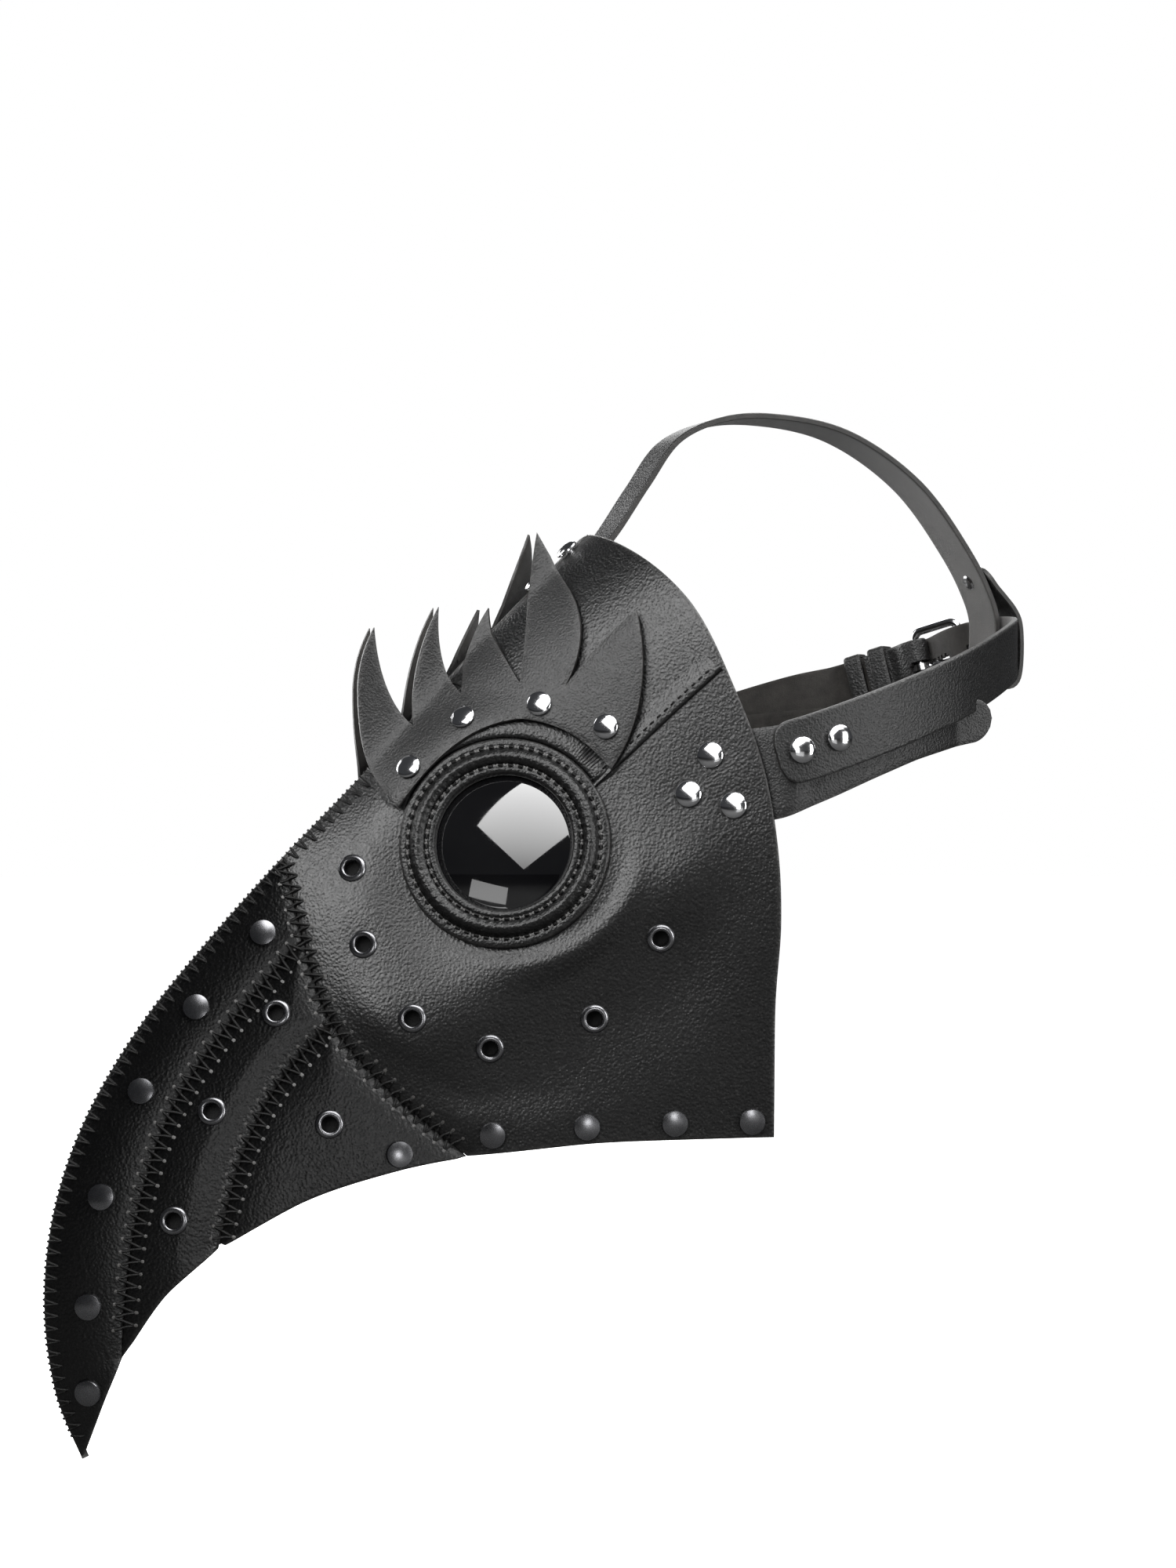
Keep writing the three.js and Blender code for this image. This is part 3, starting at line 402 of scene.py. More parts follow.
# ------------------------------------------------------------------ materials
class Nodes:
    """Small builder for a material's node tree."""

    def __init__(self, name):
        self.mat = bpy.data.materials.new(name)
        self.mat.use_nodes = True
        self.t = self.mat.node_tree
        self.bsdf = self.t.nodes["Principled BSDF"]
        self.coord = self.add("ShaderNodeTexCoord")

    def add(self, kind, **values):
        n = self.t.nodes.new(kind)
        for k, v in values.items():
            if k in n.inputs:
                n.inputs[k].default_value = v
            else:
                setattr(n, k, v)
        return n

    def link(self, a, b):
        self.t.links.new(a, b)

    def feed(self, socket, value):
        """Link an output to the socket, or set a number or a colour on it."""
        if hasattr(value, "is_linked"):
            self.link(value, socket)
        else:
            socket.default_value = (*value, 1) if hasattr(value, "__len__") else value

    def noise(self, scale, detail=4.0, rough=0.5, distort=0.0):
        n = self.add("ShaderNodeTexNoise", Scale=scale, Detail=detail, Roughness=rough, Distortion=distort)
        self.link(self.coord.outputs["Object"], n.inputs["Vector"])
        return n.outputs["Fac"]

    def cells(self, scale):
        n = self.add("ShaderNodeTexVoronoi", Scale=scale, feature="SMOOTH_F1")
        self.link(self.coord.outputs["Object"], n.inputs["Vector"])
        return n.outputs["Distance"]

    def ramp(self, fac, stops):
        n = self.add("ShaderNodeValToRGB")
        e = n.color_ramp.elements
        while len(e) < len(stops):
            e.new(0.5)
        for k, (pos, col) in enumerate(stops):
            e[k].position = pos
            e[k].color = (*(col if hasattr(col, "__len__") else (col, col, col)), 1)
        self.link(fac, n.inputs["Fac"])
        return n.outputs["Color"]

    def mix(self, fac, a, b):
        n = self.add("ShaderNodeMix", data_type="RGBA")
        for sock, val in ((n.inputs[0], fac), (n.inputs[6], a), (n.inputs[7], b)):
            self.feed(sock, val)
        return n.outputs[2]

    def math(self, op, a, b=0.0):
        n = self.add("ShaderNodeMath", operation=op)
        self.feed(n.inputs[0], a)
        self.feed(n.inputs[1], b)
        return n.outputs[0]

    def attribute(self, name):
        return self.add("ShaderNodeAttribute", attribute_name=name).outputs["Fac"]

    def bump(self, height, strength, distance, previous=None):
        n = self.add("ShaderNodeBump", Strength=strength, Distance=distance)
        self.link(height, n.inputs["Height"])
        if previous is not None:
            self.link(previous, n.inputs["Normal"])
        return n.outputs["Normal"]

    def set(self, **values):
        for k, v in values.items():
            self.feed(self.bsdf.inputs[k.replace("_", " ")], v)
        return self.mat


WORN = (0.045, 0.044, 0.043)


def leather(name, dark, light, rough, grain=1.0):
    """Satin pebbled black leather: cells of about 1 mm, pores, soft creases and rubbed edges."""
    m = Nodes(name)
    tone = m.noise(22, 5, 0.6)
    base = m.mix(m.ramp(tone, [(0.32, 0.0), (0.7, 1.0)]), dark, light)
    speck = m.noise(1500, 2, 0.7)
    base = m.mix(m.math("MULTIPLY", m.ramp(speck, [(0.56, 0.0), (0.74, 1.0)]), 0.5), base, WORN)
    rub = m.math("MULTIPLY", m.attribute("edge"), m.ramp(m.noise(260, 4, 0.7), [(0.35, 0.15), (0.65, 0.9)]))
    base = m.mix(rub, base, WORN)
    cells = m.cells(1050 / grain)
    pores = m.noise(2000 / grain, 3, 0.65)
    folds = m.noise(30, 2, 0.5, 0.3)
    n = m.bump(folds, 0.16, 0.0014)
    n = m.bump(cells, 1.0, 0.00022, n)
    n = m.bump(pores, 1.0, 0.00009, n)
    r = m.math("ADD", m.math("MULTIPLY", m.noise(480, 3, 0.7), 0.22), rough - 0.11)
    r = m.math("ADD", r, m.math("MULTIPLY", m.noise(18, 3, 0.5), 0.10))
    return m.set(Base_Color=base, Roughness=r, Normal=n, Specular_IOR_Level=0.5)


def suede(name, dark, light):
    """Napped inside of the leather."""
    m = Nodes(name)
    base = m.mix(m.ramp(m.noise(90, 6, 0.7), [(0.3, 0.0), (0.7, 1.0)]), dark, light)
    n = m.bump(m.noise(1900, 4, 0.8), 0.8, 0.00022)
    n = m.bump(m.noise(120, 4, 0.6), 0.25, 0.0006, n)
    return m.set(Base_Color=base, Roughness=0.93, Normal=n, Sheen_Weight=0.35, Specular_IOR_Level=0.2)


def cut_edge(name):
    """Dyed and burnished cut edge, with the fibre layers running along it."""
    m = Nodes(name)
    base = m.mix(m.ramp(m.noise(300, 5, 0.7), [(0.3, 0.0), (0.75, 1.0)]), (0.006, 0.006, 0.006), (0.028, 0.026, 0.024))
    n = m.bump(m.noise(1400, 3, 0.6, 1.0), 0.6, 0.0002)
    return m.set(Base_Color=base, Roughness=m.math("ADD", m.math("MULTIPLY", m.noise(600, 3), 0.25), 0.42), Normal=n)


def metal(name, color, dark, rough, scratch):
    """Plated rivet metal: small pits, fine hairlines and a darker film in patches."""
    m = Nodes(name)
    film = m.ramp(m.noise(120, 5, 0.65), [(0.35, 0.0), (0.75, 1.0)])
    base = m.mix(m.math("MULTIPLY", film, 0.55), color, dark)
    lines = m.noise(520, 3, 0.7, 2.2)
    r = m.math("ADD", m.math("MULTIPLY", lines, scratch), rough - scratch / 2)
    n = m.bump(m.noise(900, 4, 0.7), 0.03, 0.00008)
    return m.set(Base_Color=base, Roughness=r, Metallic=1.0, Normal=n)


def thread(name):
    """Waxed twisted black thread."""
    m = Nodes(name)
    base = m.mix(m.noise(800, 3, 0.7), (0.0012, 0.0012, 0.0012), (0.0060, 0.0058, 0.0056))
    n = m.bump(m.noise(2400, 2, 0.6, 1.5), 0.8, 0.0002)
    r = m.math("ADD", m.math("MULTIPLY", m.noise(900, 2), 0.2), 0.44)
    return m.set(Base_Color=base, Roughness=r, Normal=n, Specular_IOR_Level=0.22)


def lens_material(name):
    """Dark polished lens with a faint film of dust and smears."""
    m = Nodes(name)
    tint = m.ramp(m.noise(30, 3, 0.5), [(0.3, (0.0020, 0.0020, 0.0024)), (0.8, (0.0055, 0.0055, 0.0060))])
    smear = m.ramp(m.noise(70, 6, 0.7, 1.2), [(0.45, 0.0), (0.85, 1.0)])
    r = m.math("ADD", m.math("MULTIPLY", smear, 0.07), 0.025)
    n = m.bump(m.noise(45, 2, 0.4), 0.03, 0.0006)
    return m.set(Base_Color=tint, Roughness=r, Normal=n, IOR=1.85, Specular_IOR_Level=0.5)


MASK = leather("mask_leather_looks", (0.0024, 0.0024, 0.0024), (0.0046, 0.0046, 0.0046), 0.29)
RING = leather("ring_leather_looks", (0.0022, 0.0022, 0.0022), (0.0046, 0.0046, 0.0046), 0.29, 0.85)
BROW = leather("brow_leather_looks", (0.0042, 0.0042, 0.0042), (0.0090, 0.0090, 0.0090), 0.40, 0.8)
STRAP = leather("strap_leather_looks", (0.0042, 0.0042, 0.0042), (0.0090, 0.0090, 0.0090), 0.38, 0.8)
# black suede for the seam tapes, and painted shade in the discs that close the eyelets
LINING_AND_HOLE_SHADE = suede("black_lining_and_hole_shade_looks", (0.002, 0.002, 0.002), (0.006, 0.006, 0.006))
SUEDE = suede("suede_inside_looks", (0.014, 0.013, 0.012), (0.036, 0.033, 0.030))
EDGE = cut_edge("cut_edge_looks")
CHROME = metal("chrome_looks", (0.78, 0.78, 0.79), (0.50, 0.50, 0.52), 0.13, 0.10)
GUN = metal("gunmetal_looks", (0.25, 0.25, 0.26), (0.10, 0.10, 0.105), 0.27, 0.14)
THREAD = thread("thread_looks")
# cut-edge colour for the ridge's seam filling, and painted shade on the needle-hole discs
HOLE = cut_edge("needle_hole_looks")
LENS = lens_material("lens_looks")

# ------------------------------------------------------------------ face and beak panels
def coons(A, B, C, D):
    """Patch between four curves: A at v=0, C at v=1, D at u=0, B at u=1."""

    def at(u, v):
        U, V = u.ravel(), v.ravel()
        a, b, c, d = A(U), B(V), C(U), D(V)
        c00, c10, c01, c11 = (f(np.array([k])) for f, k in ((A, 0.0), (A, 1.0), (C, 0.0), (C, 1.0)))
        U, V = U[:, None], V[:, None]
        return (a * (1 - V) + c * V + d * (1 - U) + b * U
                - c00 * (1 - U) * (1 - V) - c10 * U * (1 - V) - c01 * (1 - U) * V - c11 * U * V)

    return at


def curve(points, a=0.0, b=1.0, back=False):
    return lambda t: spline(points, a + (1 - t if back else t) * (b - a))


def end_curve(f, g):
    return lambda t: f(np.ones(len(t))) * (1 - t[:, None]) + g(np.ones(len(t))) * t[:, None]


POINT = 0.965  # the lower panel stops short of the point where its seam meets its edge
lower_seam, lower_edge = curve(SEAM_2, 0, POINT), curve(LOWER_EDGE, 0, POINT)
# name: patch, inset at each end of u and v, rows and columns, crowding of the columns
PANELS = {
    "face_panel": (
        coons(curve(FACE_RIDGE), curve(REAR_EDGE), curve(JAW_EDGE), curve(FRONT_SEAM)),
        (0.002, 0, 0, 0), (112, 116), 1.25),
    "beak_ridge_panel": (
        coons(curve(BEAK_RIDGE, back=True), curve(TIP_EDGE), curve(SEAM_1), curve(FRONT_SEAM, 0, 0.25)),
        (0.001, 0, 0, 0.010), (150, 26), 1.0),
    "beak_middle_panel": (
        coons(curve(SEAM_1), curve(MIDDLE_EDGE), curve(SEAM_2), curve(FRONT_SEAM, 0.25, 0.5)),
        (0.0015, 0, 0.004, 0.004), (100, 34), 1.0),
    "beak_lower_panel": (
        coons(lower_seam, end_curve(lower_seam, lower_edge), lower_edge, curve(FRONT_SEAM, 0.5, 1.0)),
        (0.002, 0, 0.006, 0), (64, 44), 1.0),
}
EYELETS = {"face_panel": FACE_EYELETS, "beak_middle_panel": MIDDLE_EYELETS, "beak_lower_panel": LOWER_EYELETS}


def edge_spaced(n, power):
    """Parameter values crowded at both ends, where the leather's edge rolls over."""
    return np.concatenate([[0, 0.002, 0.005, 0.010], T(0.02, 0.98, n) ** power, [0.990, 0.995, 0.998, 1]])


def relief(q):
    """How far each eyelet and rivet pulls the leather in, in mm."""
    h = np.zeros(len(q))
    for c in FACE_EYELETS + MIDDLE_EYELETS + LOWER_EYELETS + RIDGE_RIVETS + JAW_RIVETS + TAB_RIVETS:
        h -= 0.35 * bell(np.hypot(q[:, 0] - c[0], q[:, 1] - c[1]), 0, 6.5)
    return h


def seam_pull(q):
    """Puckers where the zigzag thread pulls the two edges together."""
    out = np.zeros(len(q))
    for line in (FRONT_LINE, LINE_1, LINE_2, RIDGE_LINE):
        d, _ = nearest(q, line)
        k = ((q[:, None, :] - line[None]) ** 2).sum(2).argmin(1)
        tan = unit(np.gradient(line, axis=0))
        s = length_along(line)[k] + ((q - line[k]) * tan[k]).sum(1)
        out += 0.05 * np.sin(s * 2 * math.pi / 4.2) * bell(d, 3.4, 1.5)
        out -= 0.35 * bell(d, 0, 1.6)
    return out


def cut_round(outer, inner, keep, point, axis, radius, reach=14):
    """Opens a round hole in a panel's grid and draws the hole's rim onto the circle."""
    rad, height = from_axis(outer, point, axis)
    hole = (rad < radius) & (height < reach)
    keep &= ~hole
    touched = {}
    for kind, cells in (("hole", hole), ("leather", ~hole)):
        grid = np.zeros(outer.shape[:2], bool)
        for di in (0, 1):
            for dj in (0, 1):
                grid[di:cells.shape[0] + di, dj:cells.shape[1] + dj] |= cells
        touched[kind] = grid
    rim = touched["hole"] & touched["leather"]
    for grid in (outer, inner):
        rel = grid[rim] - point
        along_axis = (rel @ axis)[:, None] * axis
        grid[rim] = point + along_axis + unit(rel - along_axis) * radius


def panel(name, patch, inset, size, power):
    us, vs = edge_spaced(size[0], 1), edge_spaced(size[1], power)
    u, v = np.meshgrid(inset[0] + us * (1 - inset[0] - inset[1]), inset[2] + vs * (1 - inset[2] - inset[3]),
                       indexing="ij")
    q = patch(u, v)
    p, n = surface(q), normals(q)
    h = relief(q) + seam_pull(q)
    t = T(0, 1, 160)
    border = [patch(*np.broadcast_arrays(*ab)) for ab in ((t, 0.0), (t, 1.0), (0.0, t), (1.0, t))]
    d_edge = np.min([nearest(q, b)[0] for b in border], axis=0)
    roll = np.clip(1 - d_edge / 1.1, 0, 1)
    outer = p + n * (h - rounded(d_edge, 1.1, 0.55))[:, None]
    inner = p - n * (LEATHER - 0.35 * roll**2)[:, None] + n * (np.minimum(h, 0.4) * 0.8)[:, None]
    for side in (outer, inner):
        side[:, 0] = np.maximum(side[:, 0], 0.16)
    outer, inner = (side.reshape(len(us), len(vs), 3) for side in (outer, inner))
    keep = np.ones((len(us) - 1, len(vs) - 1), bool)
    if name == "face_panel":
        cut_round(outer, inner, keep, EYE, EYE_N, EYE_HOLE)
    for c in EYELETS.get(name, []):
        cut_round(outer, inner, keep, surface(c)[0], normals(c)[0], EYELET_HOLE)
    verts, faces, kinds, used = slab(outer, inner, keep)
    wear = np.tile(np.clip(1 - d_edge / 2.2, 0, 1) ** 2, 2)[used]
    both(name, verts, faces, [MASK, SUEDE, EDGE], "mask_leather", edge=wear, mats=kinds)


for name, settings in PANELS.items():
    panel(name, *settings)

# ------------------------------------------------------------------ stitching
def along(line, step):
    """Points at equal steps along a polyline, with their tangents."""
    s = length_along(line)
    k = int(s[-1] // step)
    p = at_lengths((np.arange(k + 1) + 0.5 * (s[-1] / step - k)) * step, s, line)
    return p, unit(np.gradient(p, axis=0))


ZIG_PITCH, ZIG_HALF, THREAD_R = 2.25, 3.5, 0.50
UNDER_LINE = np.vstack([spline(JAW_EDGE, T(1, 0, 30)), spline(LOWER_EDGE, T(0, 1, 30)),
                        spline(MIDDLE_EDGE, T(1, 0, 30)), spline(TIP_EDGE, T(1, 0, 20))])
INSIDE = nearest(np.array([[-150.0, -60.0]]), UNDER_LINE)[1][0]


def on_panel(yz, lift=0.0):
    """Points on the finished leather, or this far above it."""
    return surface(yz) + normals(yz) * (relief(yz) + seam_pull(yz) + lift)[:, None]


def zigzag(line, trim):
    """Zigzag thread over a butt seam: one stitch from each side to the next."""
    p, tan = along(line, ZIG_PITCH)
    side = left_of(tan)
    paths = []
    for i in range(int(trim / ZIG_PITCH), len(p) - 1):
        sgn = 1 if i % 2 else -1
        jit = rng.uniform(-0.25, 0.25, 2)
        a = p[i] + side[i] * sgn * (ZIG_HALF + jit[0])
        b = p[i + 1] - side[i + 1] * sgn * (ZIG_HALF + jit[1])
        flat = a + (b - a) * T(0, 1, 7)[:, None]
        gap, side_of = nearest(flat, UNDER_LINE)
        if (gap > 0.9).all() and (side_of == side_of[0]).all() and side_of[0] == INSIDE:
            paths.append(on_panel(flat, np.array([-0.5, 0.25, 0.5, 0.62, 0.5, 0.25, -0.5])))
    return paths


def ridge_zigzag(line):
    """Zigzag over the centre seam, from one side of the ridge to the other."""
    p, tan = along(line, ZIG_PITCH)
    inward = -left_of(tan)
    paths = []
    for i in range(len(p) - 1):
        sgn = 1 if i % 2 else -1
        width = 4.6 + rng.uniform(-0.3, 0.3)
        w = T(-1, 1, 11)
        base = p[i] + (p[i + 1] - p[i]) * ((w + 1) / 2)[:, None]
        q = base + inward[i] * (np.abs(w) * width)[:, None]
        lift = -0.22 + 0.5 * smooth(0.1, 0.5, np.abs(w)) - 0.9 * np.clip((np.abs(w) - 0.82) / 0.18, 0, 1)
        c = on_panel(q, lift)
        c[:, 0] = np.maximum(c[:, 0], 0.0) * np.where(w * sgn >= 0, 1, -1)
        paths.append(c)
    return paths


def needle_holes(centres, axes, radius=0.62):
    """Small dark sunken discs where the thread goes down into the leather: painted shade standing in for the dark
    inside each needle hole.
    """
    verts, faces = [], []
    for c, ax in zip(centres, axes):
        v, f = lathe([[0, 0.05], [radius * 0.7, 0.06], [radius, 0.02], [radius * 0.8, -0.5], [0, -0.5]], c, ax, 8)
        faces += stepped(f, len(verts))
        verts += list(v)
    return np.array(verts), faces


def row(points, normal_list, length, gap, lift=0.28, sink=0.45):
    """Straight running stitches along a 3-D polyline."""
    s = length_along(points)
    paths = []
    at = 0.0
    while at + length < s[-1]:
        stitch = at + T(0, 1, 5) * length
        c, m = at_lengths(stitch, s, points), at_lengths(stitch, s, normal_list)
        paths.append(c + m * np.array([-sink, lift * 0.8, lift, lift * 0.8, -sink])[:, None])
        at += length + gap
    return paths


def threads(name, paths, radius, slot="mask_leather"):
    both(name, *tubes(paths, radius), THREAD, slot, stands=False)


def sew_seams():
    zig = zigzag(FRONT_LINE, 3) + zigzag(LINE_1, 4) + zigzag(LINE_2, 4)
    threads("seam_zigzag", zig, THREAD_R)
    ends = np.array([c[k, 1:] for c in zig for k in (0, -1)])
    both("seam_needle_holes", *needle_holes(on_panel(ends), normals(ends)), HOLE, "mask_leather", stands=False)
    ridge = tubes(ridge_zigzag(RIDGE_LINE[3:84]), THREAD_R)
    make("ridge_zigzag", *ridge, THREAD, "mask", "mask_leather")


sew_seams()


def ridge_core():
    """Dark filling of the seam between the two halves, along the whole ridge."""
    line = RIDGE_LINE[:-1]
    tan = unit(np.gradient(line, axis=0))
    inward = -left_of(tan)
    if half_width(*(line + inward * 3)[40:41].T)[0] < 0:
        inward = -inward
    sides = []
    for x in (0.3, -0.3):
        rows = [np.column_stack([np.full(len(line), x), line + inward * depth]) for depth in (0.6, 3.2)]
        sides.append(np.stack(rows, 1))
    make("ridge_core", *slab(*sides)[:2], HOLE, "mask", "mask_leather")


def seam_tape(name, line, width=1.5):
    """Tape along the inside of a seam."""
    side = left_of(unit(np.gradient(line, axis=0)))
    q = line[:, None, :] + side[:, None, :] * (width * T(-1, 1, 5))[None, :, None]
    flat = q.reshape(-1, 2)
    p, n = surface(flat), normals(flat)
    faces = [(p - n * depth).reshape(*q.shape[:2], 3) for depth in (1.85, 2.5)]
    both(name, *slab(*faces)[:2], LINING_AND_HOLE_SHADE, "mask_leather", stands=False)


ridge_core()
for name, line, start in (("front_seam_tape", FRONT_LINE, 5), ("seam_tape_upper", LINE_1, 3),
                          ("seam_tape_lower", LINE_2, 3)):
    run = length_along(line)
    seam_tape(name, line[(run > start) & (run < run[-1] - 2.8)])


def lapped_fold():
    """The upper leather's folded edge, lying over the lower leather from the ring to the rear edge."""
    line = DART_LINE[eye_radius(surface(DART_LINE)) > 37.2]
    inward = left_of(unit(np.gradient(line, axis=0)))
    across = np.array([0, 0.08, 0.25, 0.5, 0.9, 1.5, 2.4, 3.5, 5, 6.5, 8, 9.5])
    top = (1.45 - rounded(across, 0.9, 1.45)) * (1 - smooth(2, 9, across))
    top -= 0.3 * smooth(6, 9.5, across) + 0.3 * (1 - smooth(0, 0.3, across))
    width = 0.3 + 0.7 * smooth(0.05, 0.45, T(0, 1, len(line)))
    q = line[:, None, :] + inward[:, None, :] * across[None, :, None] * width[:, None, None]
    flat = q.reshape(-1, 2)
    p, n = on_panel(flat), normals(flat)
    outer = (p + n * np.tile(top, len(line))[:, None]).reshape(*q.shape[:2], 3)
    inner = (p - n * 0.7).reshape(*q.shape[:2], 3)
    v, f = slab(outer, inner)[:2]
    both("fold", v, f, MASK, "mask_leather", stands=False, edge=np.zeros(len(v)))
    stitch_line = line + inward * 2.6
    threads("fold_stitching", row(on_panel(stitch_line, 1.3), normals(stitch_line), 2.3, 1.0), 0.36)


lapped_fold()

# ------------------------------------------------------------------ eye
def arc_profile(points, steps=5):
    """Smooths a lathe profile with a Catmull-Rom through its points."""
    p = np.asarray(points, float)
    return spline(p, T(0, 1, (len(p) - 1) * steps + 1))


top = arc_profile([[24.25, 2.2], [24.9, 3.5], [26.2, 3.9], [27.3, 3.35], [27.9, 3.2], [28.8, 4.5], [30.7, 5.5],
                   [32.5, 4.6], [33.6, 2.9], [34.4, 2.2], [35.6, 2.35], [36.9, 2.1], [37.6, 1.3], [37.6, 0.4]])
ring_profile = np.vstack([[[24.25, 0.9]], top, [[37.5, -0.2], [32.6, -0.2], [32.6, -4.6], [27.6, -4.6], [27.6, 0.9],
                                                [24.25, 0.9]]])
RING_ROWS = ((27.5, 3.35, 48), (34.4, 2.3, 60))  # radius, height and number of stitches


def ring_wobble(r, h, a):
    """Hand-sewn unevenness and small gathers round the padded roll."""
    if h < 0:
        return r, h
    g = 0.10 * math.sin(a * 61 + 1.3 * math.sin(a * 5)) * bell(r, 29.0, 1.6)
    g += 0.12 * math.sin(a * 47 + 2.0 * math.sin(a * 3)) * bell(r, 33.2, 1.3)
    g += 0.16 * math.sin(3 * a + 1) * bell(r, 30.5, 3.0)
    for row_r, _, row_n in RING_ROWS:
        g += 0.22 * math.cos(row_n * a) * bell(r, row_r, 0.7)
    return r, h + g


def eye_ring():
    v, f = lathe(ring_profile, EYE, EYE_N, 480, ring_wobble)
    wear = np.clip(1 - np.abs(eye_radius(v) - 37.3) / 0.7, 0, 1) * 0.7
    for ring in both("eye_ring", v, f, RING, "mask_leather", edge=wear):
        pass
    paths = []
    for r, h, count in RING_ROWS:
        for k in range(count):
            a = T(*(2 * math.pi * (k + end) / count for end in (0.16, 0.84)), 5)
            lift = np.array([-0.5, 0.05, 0.15, 0.05, -0.5]) + h
            paths.append(round_eye(a, r) + np.outer(lift, EYE_N))
    threads("ring_stitching", paths, 0.50)
    holes = [c[k] + EYE_N * 0.6 for c in paths for k in (0, -1)]
    both("ring_needle_holes", *needle_holes(holes, [EYE_N] * len(holes), 0.58), HOLE, "mask_leather", stands=False)


eye_ring()


def collar():
    """Raised leather between the ring and the brow piece, pinched at one end and gathered at the other."""
    ang = T(172, 30, 561)
    rad = np.array([37.7, 37.9, 38.3, 38.9, 39.8, 41, 42.3, 43.6, 45, 46.5, 48, 49.5, 51])
    shape = np.array([-0.4, 0.5, 1.15, 1.5, 1.7, 1.75, 1.7, 1.55, 1.25, 0.85, 0.4, 0.0, -0.5])
    a, r = np.meshgrid(np.radians(ang), rad, indexing="ij")
    fade = (smooth(30, 37, ang) * (1 - smooth(150, 171, ang)))[:, None]
    h = (shape + 0.85)[None, :] * fade - 0.85
    deg = np.degrees(a)
    h += 0.34 * np.sin(deg * 2 * math.pi / 1.55) * bell(deg, 47, 5) * bell(r, 43.8, 2.8)
    h -= 1.25 * bell(deg, 141, 1.6) * bell(r, 39.5, 3.2)
    q = round_eye(a, r).reshape(-1, 3)[:, 1:]
    p, n = surface(q), normals(q)
    outer = (p + n * h.ravel()[:, None]).reshape(*a.shape, 3)
    inner = (p - n * 1.3).reshape(*a.shape, 3)
    v, f = slab(outer, inner)[:2]
    both("collar", v, f, MASK, "mask_leather", stands=False, edge=np.zeros(len(v)))


collar()

DOME_R = 62.0
dome = [[r, math.sqrt(DOME_R**2 - r * r) - math.sqrt(DOME_R**2 - 23.9**2) + 0.5] for r in T(0, 23.9, 22)]
lens_profile = dome + [[24.4, 0.42], [27.0, 0.42], [27.2, 0.2], [27.2, -1.2], [27.0, -1.4], [0, -1.4]]
both("lens", *lathe(lens_profile, EYE, EYE_N, 96), LENS, "lens", smooth_angle=30)
retainer = arc_profile([[24.6, -2.0], [24.6, -3.9], [25.0, -4.35], [26.7, -4.35], [27.1, -3.9], [27.1, -2.0]], 3)
retainer = np.vstack([retainer, [[27.1, -1.8], [24.6, -1.8]], retainer[:1]])
both("lens_retainer", *lathe(retainer, EYE, EYE_N, 96), GUN, "gunmetal")

# ------------------------------------------------------------------ rivets and eyelets
FLAT_CAP, DOMED_CAP, SMALL_CAP = (4.75, 1.9), (4.75, 2.3), (4.5, 2.2)  # radius and height


def cap_profile(radius, height, domed):
    """Cap from rim to centre: a rolled rim, then a dome or a nearly flat face."""
    rim = [[radius * 0.94, 0.0], [radius, 0.22 * height], [radius * 0.985, 0.45 * height]]
    if domed:
        rim += [[radius * math.cos(t), height * (0.30 + 0.70 * math.sin(t))] for t in T(0.35, math.pi / 2, 9)]
    else:
        rim += [[radius * r, height * (0.62 + 0.38 * (1 - r * r))] for r in (0.94, 0.88, 0.75, 0.6, 0.45, 0.3, 0.15, 0)]
    rim[-1][0] = 0.0
    return rim


def rivet(name, point, axis, grip, cap, body="mask", pair=True, **kw):
    """Cap on the leather, post through it and washer behind, grip being the leather between them."""
    base = 0.12
    domed = cap != FLAT_CAP
    profile = [[r, h + base] for r, h in cap_profile(*cap, domed)][::-1]
    profile += [[1.35, base], [1.35, -grip], [3.0, -grip], [3.15, -grip - 0.4], [2.6, -grip - 0.95], [0, -grip - 1.1]]
    material, slot = (CHROME, "chrome") if domed else (GUN, "gunmetal")
    v, f = lathe(profile, point, axis, 40)
    if pair:
        both(name, v, f, material, slot, body, **kw)
    else:
        make(name + "_looks", v, f, material, body, slot, [name], smooth_angle=35)


def settled(c):
    """Point on the finished leather and its normal."""
    yz = np.array([c], float)
    return on_panel(yz)[0], normals(yz)[0]


for name, places, grip, cap, stands in (("jaw", JAW_RIVETS, 4.8, FLAT_CAP, True),
                                        ("ridge", RIDGE_RIVETS, 2.3, FLAT_CAP, False),
                                        ("tab", TAB_RIVETS, 4.6, DOMED_CAP, True)):
    for i, c in enumerate(places, 1):
        rivet(f"{name}_rivet_{i}", *settled(c), grip, cap, stands=stands)
ROLL = [[2.75, -2.9], [2.75, 0.1], [2.85, 0.75], [3.2, 1.15], [3.8, 1.25], [4.5, 1.0], [4.95, 0.5], [5.1, 0.05]]
BACK = [[5.0, -0.05], [3.1, -0.05], [3.1, -2.2], [4.6, -2.25], [4.8, -2.6], [4.4, -3.0], [3.2, -3.15], [2.75, -2.9]]
eyelet_profile = np.vstack([arc_profile(ROLL, 3), BACK])
for i, c in enumerate(FACE_EYELETS + MIDDLE_EYELETS + LOWER_EYELETS, 1):
    p, n = settled(c)
    both(f"eyelet_{i}", *lathe(eyelet_profile, p, n, 48), GUN, "gunmetal", stands=False)
    # painted shade: a black suede disc closes the back of each eyelet, so the hole reads as the dark inside it
    hole_shade_disc = lathe([[0, -2.4], [3.05, -2.4], [3.05, -3.1], [0, -3.1]], p, n, 32)
    both(f"eyelet_lining_{i}", *hole_shade_disc, LINING_AND_HOLE_SHADE, "mask_leather", stands=False)

# ------------------------------------------------------------------ flame brow
HORN_X, STRAP_ROOM = 2.4, 11.0    # horns' distance from the middle, and their extra room beside the top strap
CROWN_LINE = 153                  # z - y along the crown's slope, where the top strap starts
BROW_LIFT, BROW_BEND = 2.9, 10    # brow above the forehead, and softness of its bend to the upright horns


